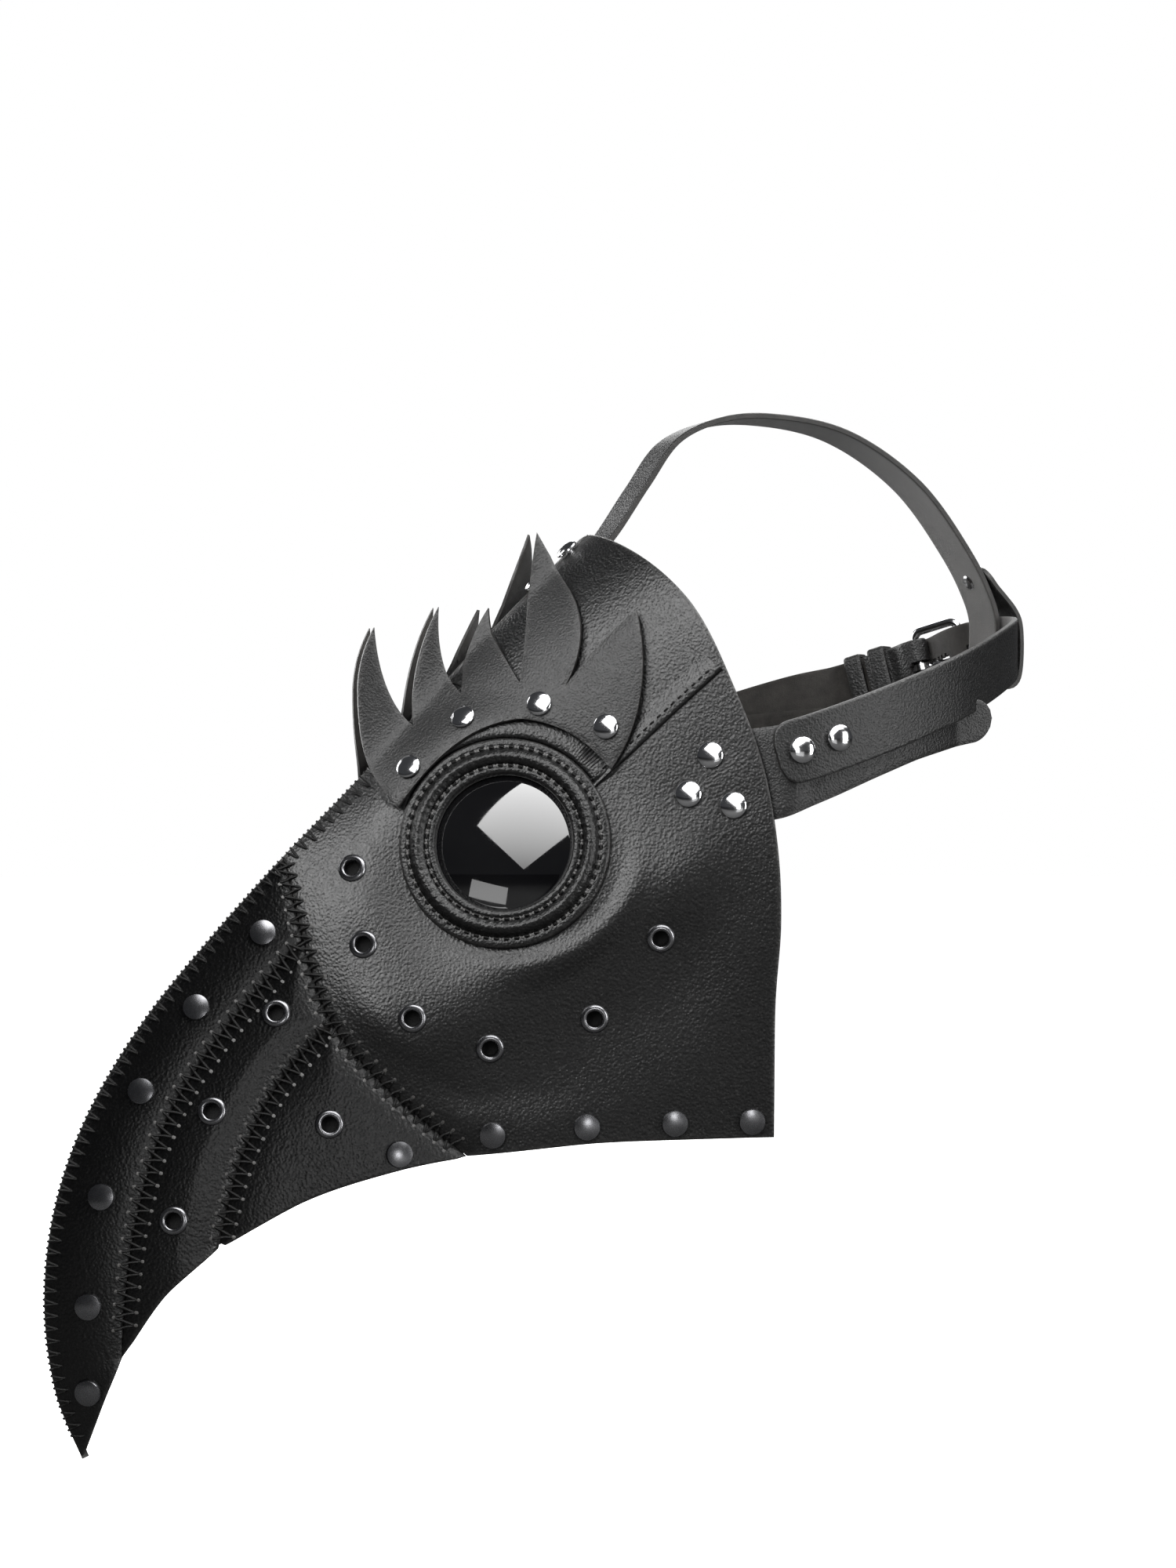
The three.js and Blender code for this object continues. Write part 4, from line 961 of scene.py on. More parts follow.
def brow_mid(y, z):
    """The piece lies on the forehead and straightens up where the ridge ends, as in the CAD."""
    beside_strap = smooth(-111, -98, y) * (1 - smooth(4, 34, z - y - CROWN_LINE))
    upright = HORN_X + STRAP_ROOM * beside_strap
    lifted = half_width(y, z) + BROW_LIFT
    return 0.5 * (upright + lifted + np.hypot(upright - lifted, BROW_BEND))


def brow_sheet(yz):
    """Points in the middle of the brow's thickness, with their normals."""
    y, z = yz[:, 0], yz[:, 1]
    return np.column_stack([brow_mid(y, z), yz]), slope_normals(brow_mid, y, z, 4.0)


BROW_OUTLINE = [((-144.5, -5.5), None), ((-154.5, 36), (-154.5, 8)), ((-148.3, 59.2), (-154.5, 48)),
                ((-135.2, 23.6), (-146.7, 36)), ((-124.2, 67), (-135, 48)), ((-119, 35), (-125.6, 48.4)),
                ((-106, 66.8), (-115, 52.6)), ((-101.6, 39), (-106.8, 52.5)), ((-87, 94.8), (-95.7, 62.6)),
                ((-88.4, 37), (-74, 62.2)), ((-64.5, 64.7), (-79.6, 50)), ((-75.7, 8), (-61.4, 30)),
                ((-103, 26), (-86, 24.5)), ((-144.5, -5.5), (-125, 24))]


def brow_outline(steps=14):
    pts = []
    for (a, _), (b, c) in zip(BROW_OUTLINE[:-1], BROW_OUTLINE[1:]):
        a, b, c = map(np.array, (a, b, c))  # from a to b, bent towards c
        for t in T(0, 1, steps, endpoint=False):
            pts.append((1 - t) ** 2 * a + 2 * t * (1 - t) * c + t * t * b)
    return np.array(pts)


def filled(outline):
    """The flat outline filled with small triangles: its points, its triangles and its border."""
    cu = bpy.data.curves.new("brow_flat", "CURVE")
    cu.dimensions = "2D"
    cu.fill_mode = "BOTH"
    loop = cu.splines.new("POLY")
    loop.points.add(len(outline) - 1)
    for k, q in enumerate(outline):
        loop.points[k].co = (q[0], q[1], 0, 1)
    loop.use_cyclic_u = True
    ob = bpy.data.objects.new("brow_flat", cu)
    bpy.context.scene.collection.objects.link(ob)
    dg = bpy.context.evaluated_depsgraph_get()
    me = bpy.data.meshes.new_from_object(ob.evaluated_get(dg))
    bpy.data.objects.remove(ob)
    bm = bmesh.new()
    bm.from_mesh(me)
    bmesh.ops.remove_doubles(bm, verts=bm.verts, dist=0.01)
    for _ in range(5):
        long_edges = [e for e in bm.edges if e.calc_length() > 2.6 and not e.is_boundary]
        if not long_edges:
            break
        bmesh.ops.subdivide_edges(bm, edges=long_edges, cuts=1)
        bmesh.ops.triangulate(bm, faces=bm.faces[:])
        bmesh.ops.beautify_fill(bm, faces=bm.faces[:], edges=[e for e in bm.edges if not e.is_boundary])
    bm.verts.ensure_lookup_table()
    bm.verts.index_update()
    q = np.array([v.co[:2] for v in bm.verts])
    tris = [tuple(v.index for v in f.verts) for f in bm.faces]
    rim = [(e.verts[0].index, e.verts[1].index) for e in bm.edges if e.is_boundary]
    bm.free()
    return q, tris, rim


def flame_brow():
    outline = brow_outline()
    q, tris, rim = filled(outline)
    d, _ = nearest(q, np.vstack([outline, outline[:1]]))
    mid, n = brow_sheet(q)
    drop = rounded(d, 1.0, 0.45)
    verts = np.vstack([mid + n * (BROW_T / 2 - drop)[:, None], mid - n * (BROW_T / 2 - drop * 0.6)[:, None]])
    back = len(q)
    faces = tris + [tuple(back + k for k in reversed(t)) for t in tris]
    kinds = [0] * len(tris) + [1] * len(tris)
    directed = {pair for t in tris for pair in ((t[0], t[1]), (t[1], t[2]), (t[2], t[0]))}
    for a, b in rim:
        if (a, b) not in directed:
            a, b = b, a
        faces.append((b, a, back + a, back + b))
        kinds.append(2)
    wear = np.tile(np.clip(1 - d / 1.3, 0, 1) * 0.8, 2)
    both("flame_brow", verts, fix_winding(verts, faces), [BROW, SUEDE, EDGE], "strap_leather", edge=wear, mats=kinds)


flame_brow()
for i, c in enumerate(BROW_RIVETS, 1):
    p, n = (part[0] for part in brow_sheet(np.array([c], float)))
    rivet(f"brow_rivet_{i}", p + n * (BROW_T / 2), n, 7.4, SMALL_CAP)

# ------------------------------------------------------------------ straps
# the buckle's own axes: E1 along the strap towards the right temple, E2 outwards, E3 up the strap's width
YAW, DIP = math.radians(42), math.radians(15)
E1 = np.array([-math.cos(YAW) * math.cos(DIP), -math.sin(YAW) * math.cos(DIP), -math.sin(DIP)])
E2 = np.array([-math.sin(YAW), math.cos(YAW), 0.0])
E3 = np.cross(E1, E2)
BUCKLE = np.array([-35.0, 96.5, 51.5])


def local(p):
    """Point from the buckle's own axes to the part's frame."""
    p = np.atleast_2d(np.asarray(p, float))
    if p.shape[1] == 2:
        p = np.column_stack([p, np.zeros(len(p))])
    return BUCKLE + p @ np.array([E1, E2, E3])


def centripetal(points, count):
    """Points at equal steps of length along a centripetal Catmull-Rom, as three.js draws it."""
    p = np.asarray(points, float)
    out = []
    for i in range(len(p) - 1):
        p1, p2 = p[i], p[i + 1]
        p0 = p[i - 1] if i else 2 * p1 - p2
        p3 = p[i + 2] if i + 2 < len(p) else 2 * p2 - p1
        d0, d1, d2 = (max(np.sum((b - a) ** 2), 1e-8) ** 0.25 for a, b in ((p0, p1), (p1, p2), (p2, p3)))
        t1 = ((p1 - p0) / d0 - (p2 - p0) / (d0 + d1) + (p2 - p1) / d1) * d1
        t2 = ((p2 - p1) / d1 - (p3 - p1) / (d1 + d2) + (p3 - p2) / d2) * d1
        w = T(0, 1, 60, endpoint=False)[:, None]
        out.append((2 * p1 - 2 * p2 + t1 + t2) * w**3 + (3 * p2 - 3 * p1 - 2 * t1 - t2) * w**2 + t1 * w + p1)
    line = np.vstack([*out, p[-1:]])
    s = length_along(line)
    return at_lengths(T(0, s[-1], count), s, line)


def strip_grid(centre, out_dir, width_dir, half, thickness, across, holes=()):
    """Strap solid along centre points, with rounded edges, thickness and cut holes."""
    k = T(-1, 1, across)
    k = np.sign(k) * (1 - (1 - np.abs(k)) ** 1.35)
    outer = centre[:, None, :] + width_dir[:, None, :] * (half[:, None] * k)[..., None]
    d = half[:, None] * (1 - np.abs(k))
    drop = rounded(d, 0.9, 0.42)
    inner = outer - out_dir[:, None, :] * (thickness / 2 - drop * 0.7)[..., None]
    outer = outer + out_dir[:, None, :] * (thickness / 2 - drop)[..., None]
    keep = np.ones((len(centre) - 1, across - 1), bool)
    for point, axis, radius in holes:
        rad, height = from_axis(outer, point, axis)
        keep &= ~((rad < radius) & (height < 4))
    verts, faces, kinds, used = slab(outer, inner, keep)
    wear = np.clip(1 - d / 1.2, 0, 1).ravel() * 0.8
    return verts, faces, kinds, np.tile(wear, 2)[used]


def strap(node, centre, ref_out, half, across, holes=(), body="harness", blend=None):
    """Strap along a route; its outward side is turned to ref_out."""
    tan = unit(np.gradient(centre, axis=0))
    w = unit(np.cross(ref_out, tan))
    n = unit(np.cross(tan, w))
    n *= np.sign((n * ref_out).sum(1))[:, None]
    v, f, kinds, wear = strip_grid(centre, n, w, half, STRAP_T, across, holes)
    make(node.replace("side_strap_", "") + ("_strap_looks" if "side" in node else "_looks"), v, f,
         [STRAP, SUEDE, EDGE], body, "strap_leather", [node], edge=wear, mats=kinds, blend=blend)


def level_out(centre):
    """Outward direction of a strap that stands upright round the head."""
    tan = unit(np.gradient(centre, axis=0))
    n = unit(np.column_stack([tan[:, 1], -tan[:, 0], np.zeros(len(tan))]))
    s = np.sign((n[:, :2] * centre[:, :2]).sum(1))
    return n * s[:, None]


HW = STRAP_W / 2
STEP = 1.4
END_RADIUS = 7.0


def rounded_ends(count, end=True):
    """Half width along a strap whose ends have rounded corners."""
    s = np.arange(count) * STEP
    h = HW - rounded(s, END_RADIUS, END_RADIUS)
    return np.minimum(h, HW - rounded(s[::-1], END_RADIUS, END_RADIUS)) if end else h


SIDE = np.array([[78.6, -23.5, 12.4], [80.3, -6, 17.6], [77, 25, 28], [66.5, 55, 38.7]])
LEFT_ROUTE = np.vstack([SIDE, [[46, 82, 49], [23, 99, 55], [0, 102.7, 56.5]], local([[-16, -4.9]])])
RIGHT_ROUTE = np.vstack([SIDE[:3] * [-1, 1, 1], [[-72.5, 52, 36]], local([[47, 2.5]]), local([[42, 3.3]])])
HINGE_X, ROLLER_X, FOLD_R = 8.0, -11.0, 3.3
TAIL = [[-16, -4.9], [-12.5, -4.8], [-8, -3.6], [-3.5, -0.9], [0.5, 2.6], [4, 5], [8, 5.75], [14, 5.75],
        [30, 5.75], [42, 5.75], [46, 5.75]]
CHAPE = [[42, FOLD_R], [30, FOLD_R], [14, FOLD_R]]  # the end folded back round the hinge bar
CHAPE += [[HINGE_X + FOLD_R * math.cos(a), FOLD_R * math.sin(a)] for a in T(math.pi / 2, 1.5 * math.pi, 13)]
CHAPE += [[12.5, -2.6], [17.5, 0.1], [20, 0.72], [31, 0.72]]


def resample(points, step):
    p = np.asarray(points, float)
    s = length_along(p)
    return at_lengths(T(0, s[-1], max(2, int(round(s[-1] / step)) + 1)), s, p)


def left_strap():
    world = resample(centripetal(LEFT_ROUTE, 240), STEP)
    tail = resample(centripetal(np.column_stack([TAIL, np.zeros(len(TAIL))]), 200), STEP)[:, :2]
    centre = np.vstack([world[:-1], local(tail)])
    turn = left_of(unit(np.gradient(tail, axis=0)))
    out = np.vstack([level_out(world)[:-1], np.outer(turn[:, 0], E1) + np.outer(turn[:, 1], E2)])
    for _ in range(3):
        out[1:-1] = unit(out[:-2] + 2 * out[1:-1] + out[2:])
    holes = [(local([xy])[0], E2, 2.0) for xy in ([20, 5.75], [32, 5.75], [-16, -4.9])]
    # a longer opening where the prong goes through
    slant = unit(E1 * -0.65 + E2 * 0.76)
    holes += [(local([xy])[0], slant, 2.0) for xy in ([-4.4, -1.5], [-2.5, 0], [-0.5, 1.8], [1.5, 3.4], [3.6, 4.8])]
    strap("side_strap_left", centre, out, rounded_ends(len(centre)), 25, holes)


def right_strap():
    world = resample(centripetal(RIGHT_ROUTE, 200), STEP)
    end = resample(CHAPE, 0.9)
    centre = np.vstack([world[:-1], local(end)])
    # the strap comes in from the temple, so its outward side is on the right of the local path
    turn = -left_of(unit(np.gradient(end, axis=0)))
    out = np.vstack([level_out(world)[:-1], np.outer(turn[:, 0], E1) + np.outer(turn[:, 1], E2)])
    half = np.concatenate([rounded_ends(len(world) - 1, end=False), np.full(len(end), HW)])
    slot = [(local([[HINGE_X + FOLD_R * math.cos(a), FOLD_R * math.sin(a)]])[0],
             np.cos(a) * E1 + np.sin(a) * E2, 2.1) for a in T(1.2, 5.1, 12)]
    strap("side_strap_right", centre, out, half, 25, slot)
    stitches = []  # close the strap's end round the hinge bar
    for z in (-8.2, 8.2):
        line = local(np.column_stack([T(14, 30, 30), np.full(30, FOLD_R + STRAP_T / 2), np.full(30, z)]))
        stitches += row(line, np.tile(E2, (30, 1)), 2.4, 1.0)
    make("buckle_end_stitching", *tubes(stitches, 0.34), THREAD, "harness", "strap_leather")


left_strap()
right_strap()


def on_left_strap(y):
    """Point in the middle of the left strap near the temple, and its outward direction."""
    c = centripetal(LEFT_ROUTE, 600)
    k = int(np.argmin(np.abs(c[:240, 1] - y)))
    tan = unit(c[k + 1] - c[k - 1])
    return c[k], unit(np.array([tan[1], -tan[0], 0.0]))


for i, y in enumerate((-15, -1), 1):
    p, n = on_left_strap(y)
    rivet(f"strap_rivet_{i}", p + n * STRAP_T / 2, n, 6.4, DOMED_CAP, "harness")

# ------------------------------------------------------------------ strap tabs
# y, z of the middle line and half width
TAB = np.array([[-59, 3, 7], [-54, 3.4, 12.5], [-44, 4.2, 16], [-34, 5.5, 16.6], [-27, 6.5, 16.6], [-21, 7.6, 16.4],
                [-12, 9.8, 15.6], [0, 13, 14.2], [16, 17.2, 12], [34, 21.4, 9.8], [52, 24.6, 8.4], [64, 26.4, 7.6],
                [68, 27, 4]])
TAB_ACROSS = 17


def tab_mesh():
    """Tab that lies inside the cheek at its front and inside the strap at its rear."""
    round_end = 7.2
    y = np.concatenate([T(-59, -53, 12), T(-52, 60.5, 84), 68 - round_end * np.cos(T(math.pi / 14, math.pi / 2, 13))])
    line = centripetal(TAB, 110)
    zc = np.interp(y, line[:, 0], line[:, 1])
    half = np.interp(y, [*TAB[:-2, 0], 60.8, 68], [*TAB[:-2, 2], 7.9, 7.4])
    for d in (y - y[0], y[-1] - y):
        half = np.maximum(half - rounded(d, round_end, round_end), 0.3)
    k = T(-1, 1, TAB_ACROSS)
    q = np.column_stack([np.repeat(y, TAB_ACROSS), (zc[:, None] + half[:, None] * k).ravel()])
    inside = surface(q) - normals(q) * (LEATHER + 0.4 + TAB_T / 2)
    route = centripetal(LEFT_ROUTE, 1200)[:520]
    tan = unit(np.gradient(route, axis=0))
    flat = np.hypot(tan[:, 0], tan[:, 1])
    at = np.maximum(q[:, 0], -23)
    sx, nx, ny = (np.interp(at, route[:, 1], v) for v in (route[:, 0], tan[:, 1] / flat, -tan[:, 0] / flat))
    beside = np.column_stack([sx - ((STRAP_T + TAB_T) / 2 + 1.6) / nx, q])
    w = smooth(-24, -9, q[:, 0])[:, None]
    c = inside * (1 - w) + beside * w
    n = unit(normals(q) * (1 - w) + np.column_stack([nx, ny, np.zeros(len(q))]) * w)
    d = (half[:, None] * (1 - np.abs(k))).ravel()
    drop = rounded(d, 0.9, 0.4)
    shape = (len(y), TAB_ACROSS, 3)
    outer = (c + n * (TAB_T / 2 - drop)[:, None]).reshape(shape)
    inner = (c - n * (TAB_T / 2 - drop * 0.7)[:, None]).reshape(shape)
    v, f, kinds, used = slab(outer, inner)
    return v, f, kinds, np.tile(np.clip(1 - d / 1.2, 0, 1) * 0.7, 2)[used]


tab_v, tab_f, tab_kinds, tab_wear = tab_mesh()
for side, v, f, x in (("left", tab_v, tab_f, 0.07), ("right", mirror(tab_v), flip(tab_f), -0.07)):
    make(f"strap_tab_{side}_looks", v, f, [STRAP, SUEDE, EDGE], None, "strap_leather", [f"strap_tab_{side}"],
         edge=tab_wear, mats=tab_kinds, blend=("mask", "harness", (x, -0.034, 0.008), (x, -0.014, 0.008)))

# ------------------------------------------------------------------ top strap
TOP = np.array([[-92.1, 60.9], [-77.5, 75.3], [-60.6, 92.1], [-46, 113], [-33, 130.4], [-15, 138.6], [5, 140.4],
                [35, 135.5], [65, 117.5], [86, 92], [94.3, 77.6], [98.0, 67], [98.0, 46.5], [99.8, 42.2],
                [103.4, 40.6], [106.4, 42.2], [108.0, 46.5], [108.0, 65], [105.7, 70], [101.6, 74.8], [97.1, 79.7],
                [92.7, 86.4]])
top_c = resample(centripetal(np.column_stack([np.zeros(len(TOP)), TOP]), 420), STEP)
top_t = unit(np.gradient(top_c, axis=0))
top_out = np.column_stack([np.zeros(len(top_t)), -top_t[:, 2], top_t[:, 1]])
strap("top_strap", top_c, top_out, rounded_ends(len(top_c)), 21, body=None,
      blend=("mask", "harness", (0, -0.060, 0.094), (0, 0.090, 0.088)))
loop_axis = unit(np.array([0, 0.836, 0.549]))
rivet("loop_rivet", np.array([0, 94.9, 83.05]) + loop_axis * STRAP_T / 2, loop_axis, 5.0, SMALL_CAP, "harness", False)
crown = unit(np.array([0, -0.699, 0.715]))
for i, c in enumerate(TOP_RIVETS, 1):
    rivet(f"crown_rivet_{i}", np.array([0.0, *c]) + crown * 0.35, crown, 7.8, SMALL_CAP, pair=False)

# ------------------------------------------------------------------ buckle
def sweep(points, radius, sides=14, closed=True):
    """Round bar along a closed or open path given in the buckle's axes."""
    p = np.asarray(points, float)
    n = len(p)
    tan = unit(np.roll(p, -1, 0) - np.roll(p, 1, 0)) if closed else unit(np.gradient(p, axis=0))
    u = np.tile([0.0, 1.0, 0.0], (n, 1))
    u = unit(u - (u * tan).sum(1)[:, None] * tan)
    w = np.cross(tan, u)
    a = T(0, 2 * math.pi, sides, endpoint=False)
    r = np.broadcast_to(radius, n)
    spokes = u[:, None, :] * np.cos(a)[None, :, None] + w[:, None, :] * np.sin(a)[None, :, None]
    verts = (p[:, None, :] + spokes * r[:, None, None]).reshape(-1, 3)
    faces = []
    for i in range(n if closed else n - 1):
        j = (i + 1) % n
        for s in range(sides):
            t = (s + 1) % sides
            faces.append((i * sides + s, i * sides + t, j * sides + t, j * sides + s))
    if not closed:
        faces += [tuple(range(sides))[::-1], tuple((n - 1) * sides + s for s in range(sides))]
    return verts, fix_winding(verts, faces)


def rounded_rect(x0, x1, z0, z1, r, k=8):
    pts = []
    for cx, cz, a0 in ((x1 - r, z1 - r, 0), (x0 + r, z1 - r, 90), (x0 + r, z0 + r, 180), (x1 - r, z0 + r, 270)):
        for a in np.radians(T(a0, a0 + 90, k)):
            pts.append([cx + r * math.cos(a), 0.0, cz + r * math.sin(a)])
    out = []
    for a, b in zip(pts, pts[1:] + pts[:1]):
        seg = np.linalg.norm(np.subtract(b, a))
        for t in T(0, 1, max(1, int(seg // 1.5)), endpoint=False):
            out.append(np.asarray(a) * (1 - t) + np.asarray(b) * t)
    return np.array(out)


def hardware(name, verts, faces, body):
    """A buckle part given in the buckle's axes."""
    v = local(verts)
    make(name + "_looks", v, fix_winding(v, faces), CHROME, body, "chrome", [name])


loop_path = rounded_rect(ROLLER_X, HINGE_X, -14.3, 14.3, 3.4)
hardware("buckle_frame", *sweep(loop_path, 1.28 + 0.34 * smooth(11, 13, np.abs(loop_path[:, 2]))), "harness")
roller = arc_profile([[2.9, -11.2], [2.9, 0], [2.9, 11.2]], 4)
roller = np.vstack([[[2.2, -11.7], [2.6, -11.75], [2.85, -11.55]], roller,
                    [[2.85, 11.55], [2.6, 11.75], [2.2, 11.7], [2.2, -11.7]]])
make("buckle_roller_looks", *lathe(roller, local([[ROLLER_X, 0]])[0], E3, 40), CHROME, "roller", "chrome",
     ["buckle_roller"])


def prong_mesh():
    """An eye round the hinge bar, and a finger that rests on the roller."""
    sides, eye_r = 40, 2.95
    section = [[-0.75, -1.2], [-0.35, -1.4], [0.35, -1.4], [0.75, -1.2], [0.75, 1.2], [0.35, 1.4], [-0.35, 1.4],
               [-0.75, 1.2]]
    m = len(section)
    ring_v = np.array([[HINGE_X + (eye_r + dr) * math.cos(t), (eye_r + dr) * math.sin(t), dz]
                       for t in T(0, 2 * math.pi, sides, endpoint=False) for dr, dz in section])
    ring_f = []
    for i in range(sides):
        a, b = i * m, (i + 1) % sides * m
        ring_f += [(a + s, b + s, b + (s + 1) % m, a + (s + 1) % m) for s in range(m)]
    finger = centripetal([[HINGE_X - 2.2, 1.9, 0], [2, 2.35, 0], [-3, 3.1, 0], [-8, 4.0, 0], [-11, 4.35, 0],
                          [-13.1, 3.95, 0]], 30)
    v, f = sweep(finger, np.interp(T(0, 1, 30), [0, 0.6, 0.93, 1], [1.15, 1.1, 0.95, 0.45]), closed=False)
    return np.vstack([ring_v, v]), fix_winding(ring_v, ring_f) + stepped(f, len(ring_v))


hardware("buckle_prong", *prong_mesh(), "prong")


def keeper(name, x, y0, y1, body, width=7.0, t=1.6):
    """Narrow leather loop round the strap, rounded at its corners, with two stitch rows."""
    hz = HW + 0.45
    path = rounded_rect(y0 - t / 2, y1 + t / 2, -hz - t / 2, hz + t / 2, 1.5, 7)[:, [1, 0, 2]]
    n, m = len(path), 9  # points round the loop and across its width
    out = np.cross(unit(np.roll(path, -1, 0) - np.roll(path, 1, 0)), [1.0, 0, 0])
    if ((path - path.mean(0)) * out).sum() < 0:
        out = -out
    k = T(-1, 1, m)
    d = width / 2 * (1 - np.abs(k))
    c = path[:, None, :] + np.array([1.0, 0, 0]) * (k * width / 2)[None, :, None] + [x, 0, 0]
    o = out[:, None, :]
    outer, inner = c + o * (t / 2 - rounded(d, 0.8, 0.35))[None, :, None], c - o * (t / 2)
    v = local(np.concatenate([outer.reshape(-1, 3), inner.reshape(-1, 3)]))
    faces, kinds = [], []
    off = n * m
    for i in range(n):
        a, b = i * m, (i + 1) % n * m
        for s in range(m - 1):
            faces.append((a + s, b + s, b + s + 1, a + s + 1))
            faces.append((off + a + s, off + a + s + 1, off + b + s + 1, off + b + s))
        faces += [(b, a, off + a, off + b), (a + m - 1, b + m - 1, off + b + m - 1, off + a + m - 1)]
        kinds += [0, 1] * (m - 1) + [2, 2]
    wear = np.tile(np.clip(1 - d / 1.0, 0, 1) * 0.8, 2 * n)
    make(name + "_looks", v, fix_winding(v, faces), [STRAP, SUEDE, EDGE], body, "strap_leather", [name], edge=wear,
         mats=kinds)
    stitches = []
    for dx in (-width / 2 + 1.2, width / 2 - 1.2):
        line = local(np.column_stack([np.full(30, x + dx), np.full(30, y1 + t), T(-hz + 1, hz - 1, 30)]))
        stitches += row(line, np.tile(E2, (30, 1)), 1.9, 0.8, 0.2, 0.35)
    make(name + "_stitching", *tubes(stitches, 0.28), THREAD, body, "strap_leather")


keeper("fixed_keeper", 25, -0.75, 7.2, "harness")
keeper("sliding_keeper", 36.5, 1.45, 7.2, "keeper")

# ------------------------------------------------------------------ underside
def edge_point(t):
    """Point on the mask's lower edge, from the jaw's rear corner (0) to the beak's middle panel (1)."""
    if t < 0.45:
        return spline(JAW_EDGE, [1 - t / 0.45])[0]
    if t < 0.82:
        return spline(LOWER_EDGE, [(t - 0.45) / 0.37])[0]
    return spline(MIDDLE_EDGE, [1 - (t - 0.82) / 0.18])[0]


def underside():
    """Panel that closes the jaw and the beak: two lips inside the cheeks and a level middle."""
    n = 90
    rows_o, rows_i = [], []
    for i in range(n + 1):
        t = 0.01 + 0.955 * i / n
        e, f, g = edge_point(t), edge_point(min(1, t + 0.004)), edge_point(max(0, t - 0.004))
        tx, ty = (f - g) / np.linalg.norm(f - g)
        ups = np.array([9, 7.4, 5.8, 4.2, 3.0, 2.0, 1.3, 0.9])
        q = e + np.outer(ups, [ty, -tx])
        s, m = surface(q), normals(q)
        ol = s - m * (LEATHER + 0.7 + 0.5)
        il = s - m * (LEATHER + 0.7 + 2.0)
        b, d = ol[-1], il[-1] + np.array([0, 0.0, 1.5])
        il[-3:] += np.outer([0.3, 0.9, 1.5], [0, ty, -tx])
        k = T(1, 0, 12)[1:]
        flat_o = np.column_stack([b[0] * k, np.full(11, b[1]), b[2] + 1.2 * (1 - k**2) * min(1, b[0] / 30)])
        flat_i = np.column_stack([(d[0] - 0.6) * k, flat_o[:, 1], flat_o[:, 2] + 1.9])
        for rows, part in ((rows_o, [ol, flat_o]), (rows_i, [il, flat_i])):
            line = np.vstack(part)
            line[:, 0] = np.maximum(line[:, 0], 0)
            rows.append(np.vstack([line, mirror(line[:-1][::-1])]))
    v, f, kinds, _ = slab(np.array(rows_o), np.array(rows_i))
    make("beak_underside_looks", v, f, [MASK, SUEDE, EDGE], "mask", "mask_leather", ["beak_underside"],
         edge=np.zeros(len(v)), mats=kinds)


underside()

# ------------------------------------------------------------------ studio
TURN = math.radians(20)  # the photo is taken this far round from the mask's left side towards its front
to_cam = Vector((math.cos(TURN), -math.sin(TURN), 0))
right = Vector((math.sin(TURN), math.cos(TURN), 0))
up = Vector((0, 0, 1))


def camera(distance=1.15, lens=70.07):
    data = bpy.data.cameras.new("camera")
    cam = bpy.data.objects.new("camera", data)
    bpy.context.scene.collection.objects.link(cam)
    data.lens = lens
    data.sensor_width = 36.0
    data.clip_start, data.clip_end = 0.05, 60.0
    aim = right * -0.06144 + up * 0.00295
    cam.location = aim + to_cam * distance
    cam.rotation_mode = "QUATERNION"
    cam.rotation_quaternion = (-to_cam).to_track_quat("-Z", "Y")
    bpy.context.scene.camera = cam


camera()
LIT = Vector((0, -0.09, -0.02))  # the point every light is turned to


def area(name, direction, distance, size, power, spin):
    """Softbox: direction is (right, up, towards the camera) seen from the object."""
    data = bpy.data.lights.new(name, "AREA")
    data.shape = "RECTANGLE"
    data.size, data.size_y = size
    data.energy = power
    o = bpy.data.objects.new(name, data)
    bpy.context.scene.collection.objects.link(o)
    o.visible_camera = False
    d = (right * direction[0] + up * direction[1] + to_cam * direction[2]).normalized()
    o.location = LIT + d * distance
    o.rotation_mode = "QUATERNION"
    turn = Matrix.Rotation(math.radians(spin), 3, "Z").to_quaternion()
    o.rotation_quaternion = (-d).to_track_quat("-Z", "Y") @ turn
    return o


def flag_off(light, pieces):
    """Keep one light off some pieces, as a flag on a stand does."""
    flag = bpy.data.collections.new(light.name + "_flag")
    for piece in pieces:
        flag.objects.link(piece)
    for entry in flag.collection_objects:
        entry.light_linking.link_state = "EXCLUDE"
    light.light_linking.receiver_collection = flag


def fall_off(light, far, near):
    """A softbox that is brighter towards one corner."""
    light.data.use_nodes = True
    tree = light.data.node_tree
    emission = next(n for n in tree.nodes if n.type == "EMISSION")
    place = tree.nodes.new("ShaderNodeNewGeometry")
    split = tree.nodes.new("ShaderNodeSeparateXYZ")
    total = tree.nodes.new("ShaderNodeMath")
    level = tree.nodes.new("ShaderNodeMapRange")
    level.inputs["From Max"].default_value = 2.0
    level.inputs["To Min"].default_value = far
    level.inputs["To Max"].default_value = near
    tree.links.new(place.outputs["Parametric"], split.inputs[0])
    tree.links.new(split.outputs["X"], total.inputs[0])
    tree.links.new(split.outputs["Y"], total.inputs[1])
    tree.links.new(total.outputs[0], level.inputs["Value"])
    tree.links.new(level.outputs["Result"], emission.inputs["Strength"])


def pieces_of(*materials):
    return [o for o in bpy.data.objects
            if o.type == "MESH" and o.data.materials and o.data.materials[0] in materials]


hides = pieces_of(MASK, RING, BROW, STRAP, LINING_AND_HOLE_SHADE, SUEDE, EDGE, THREAD)
glass = pieces_of(LENS)
rings = pieces_of(RING)
beak = [o for o in hides if o.name.startswith("beak_")]
face = [o for o in hides if not o.name.startswith("beak_")]
metals = pieces_of(CHROME, GUN)

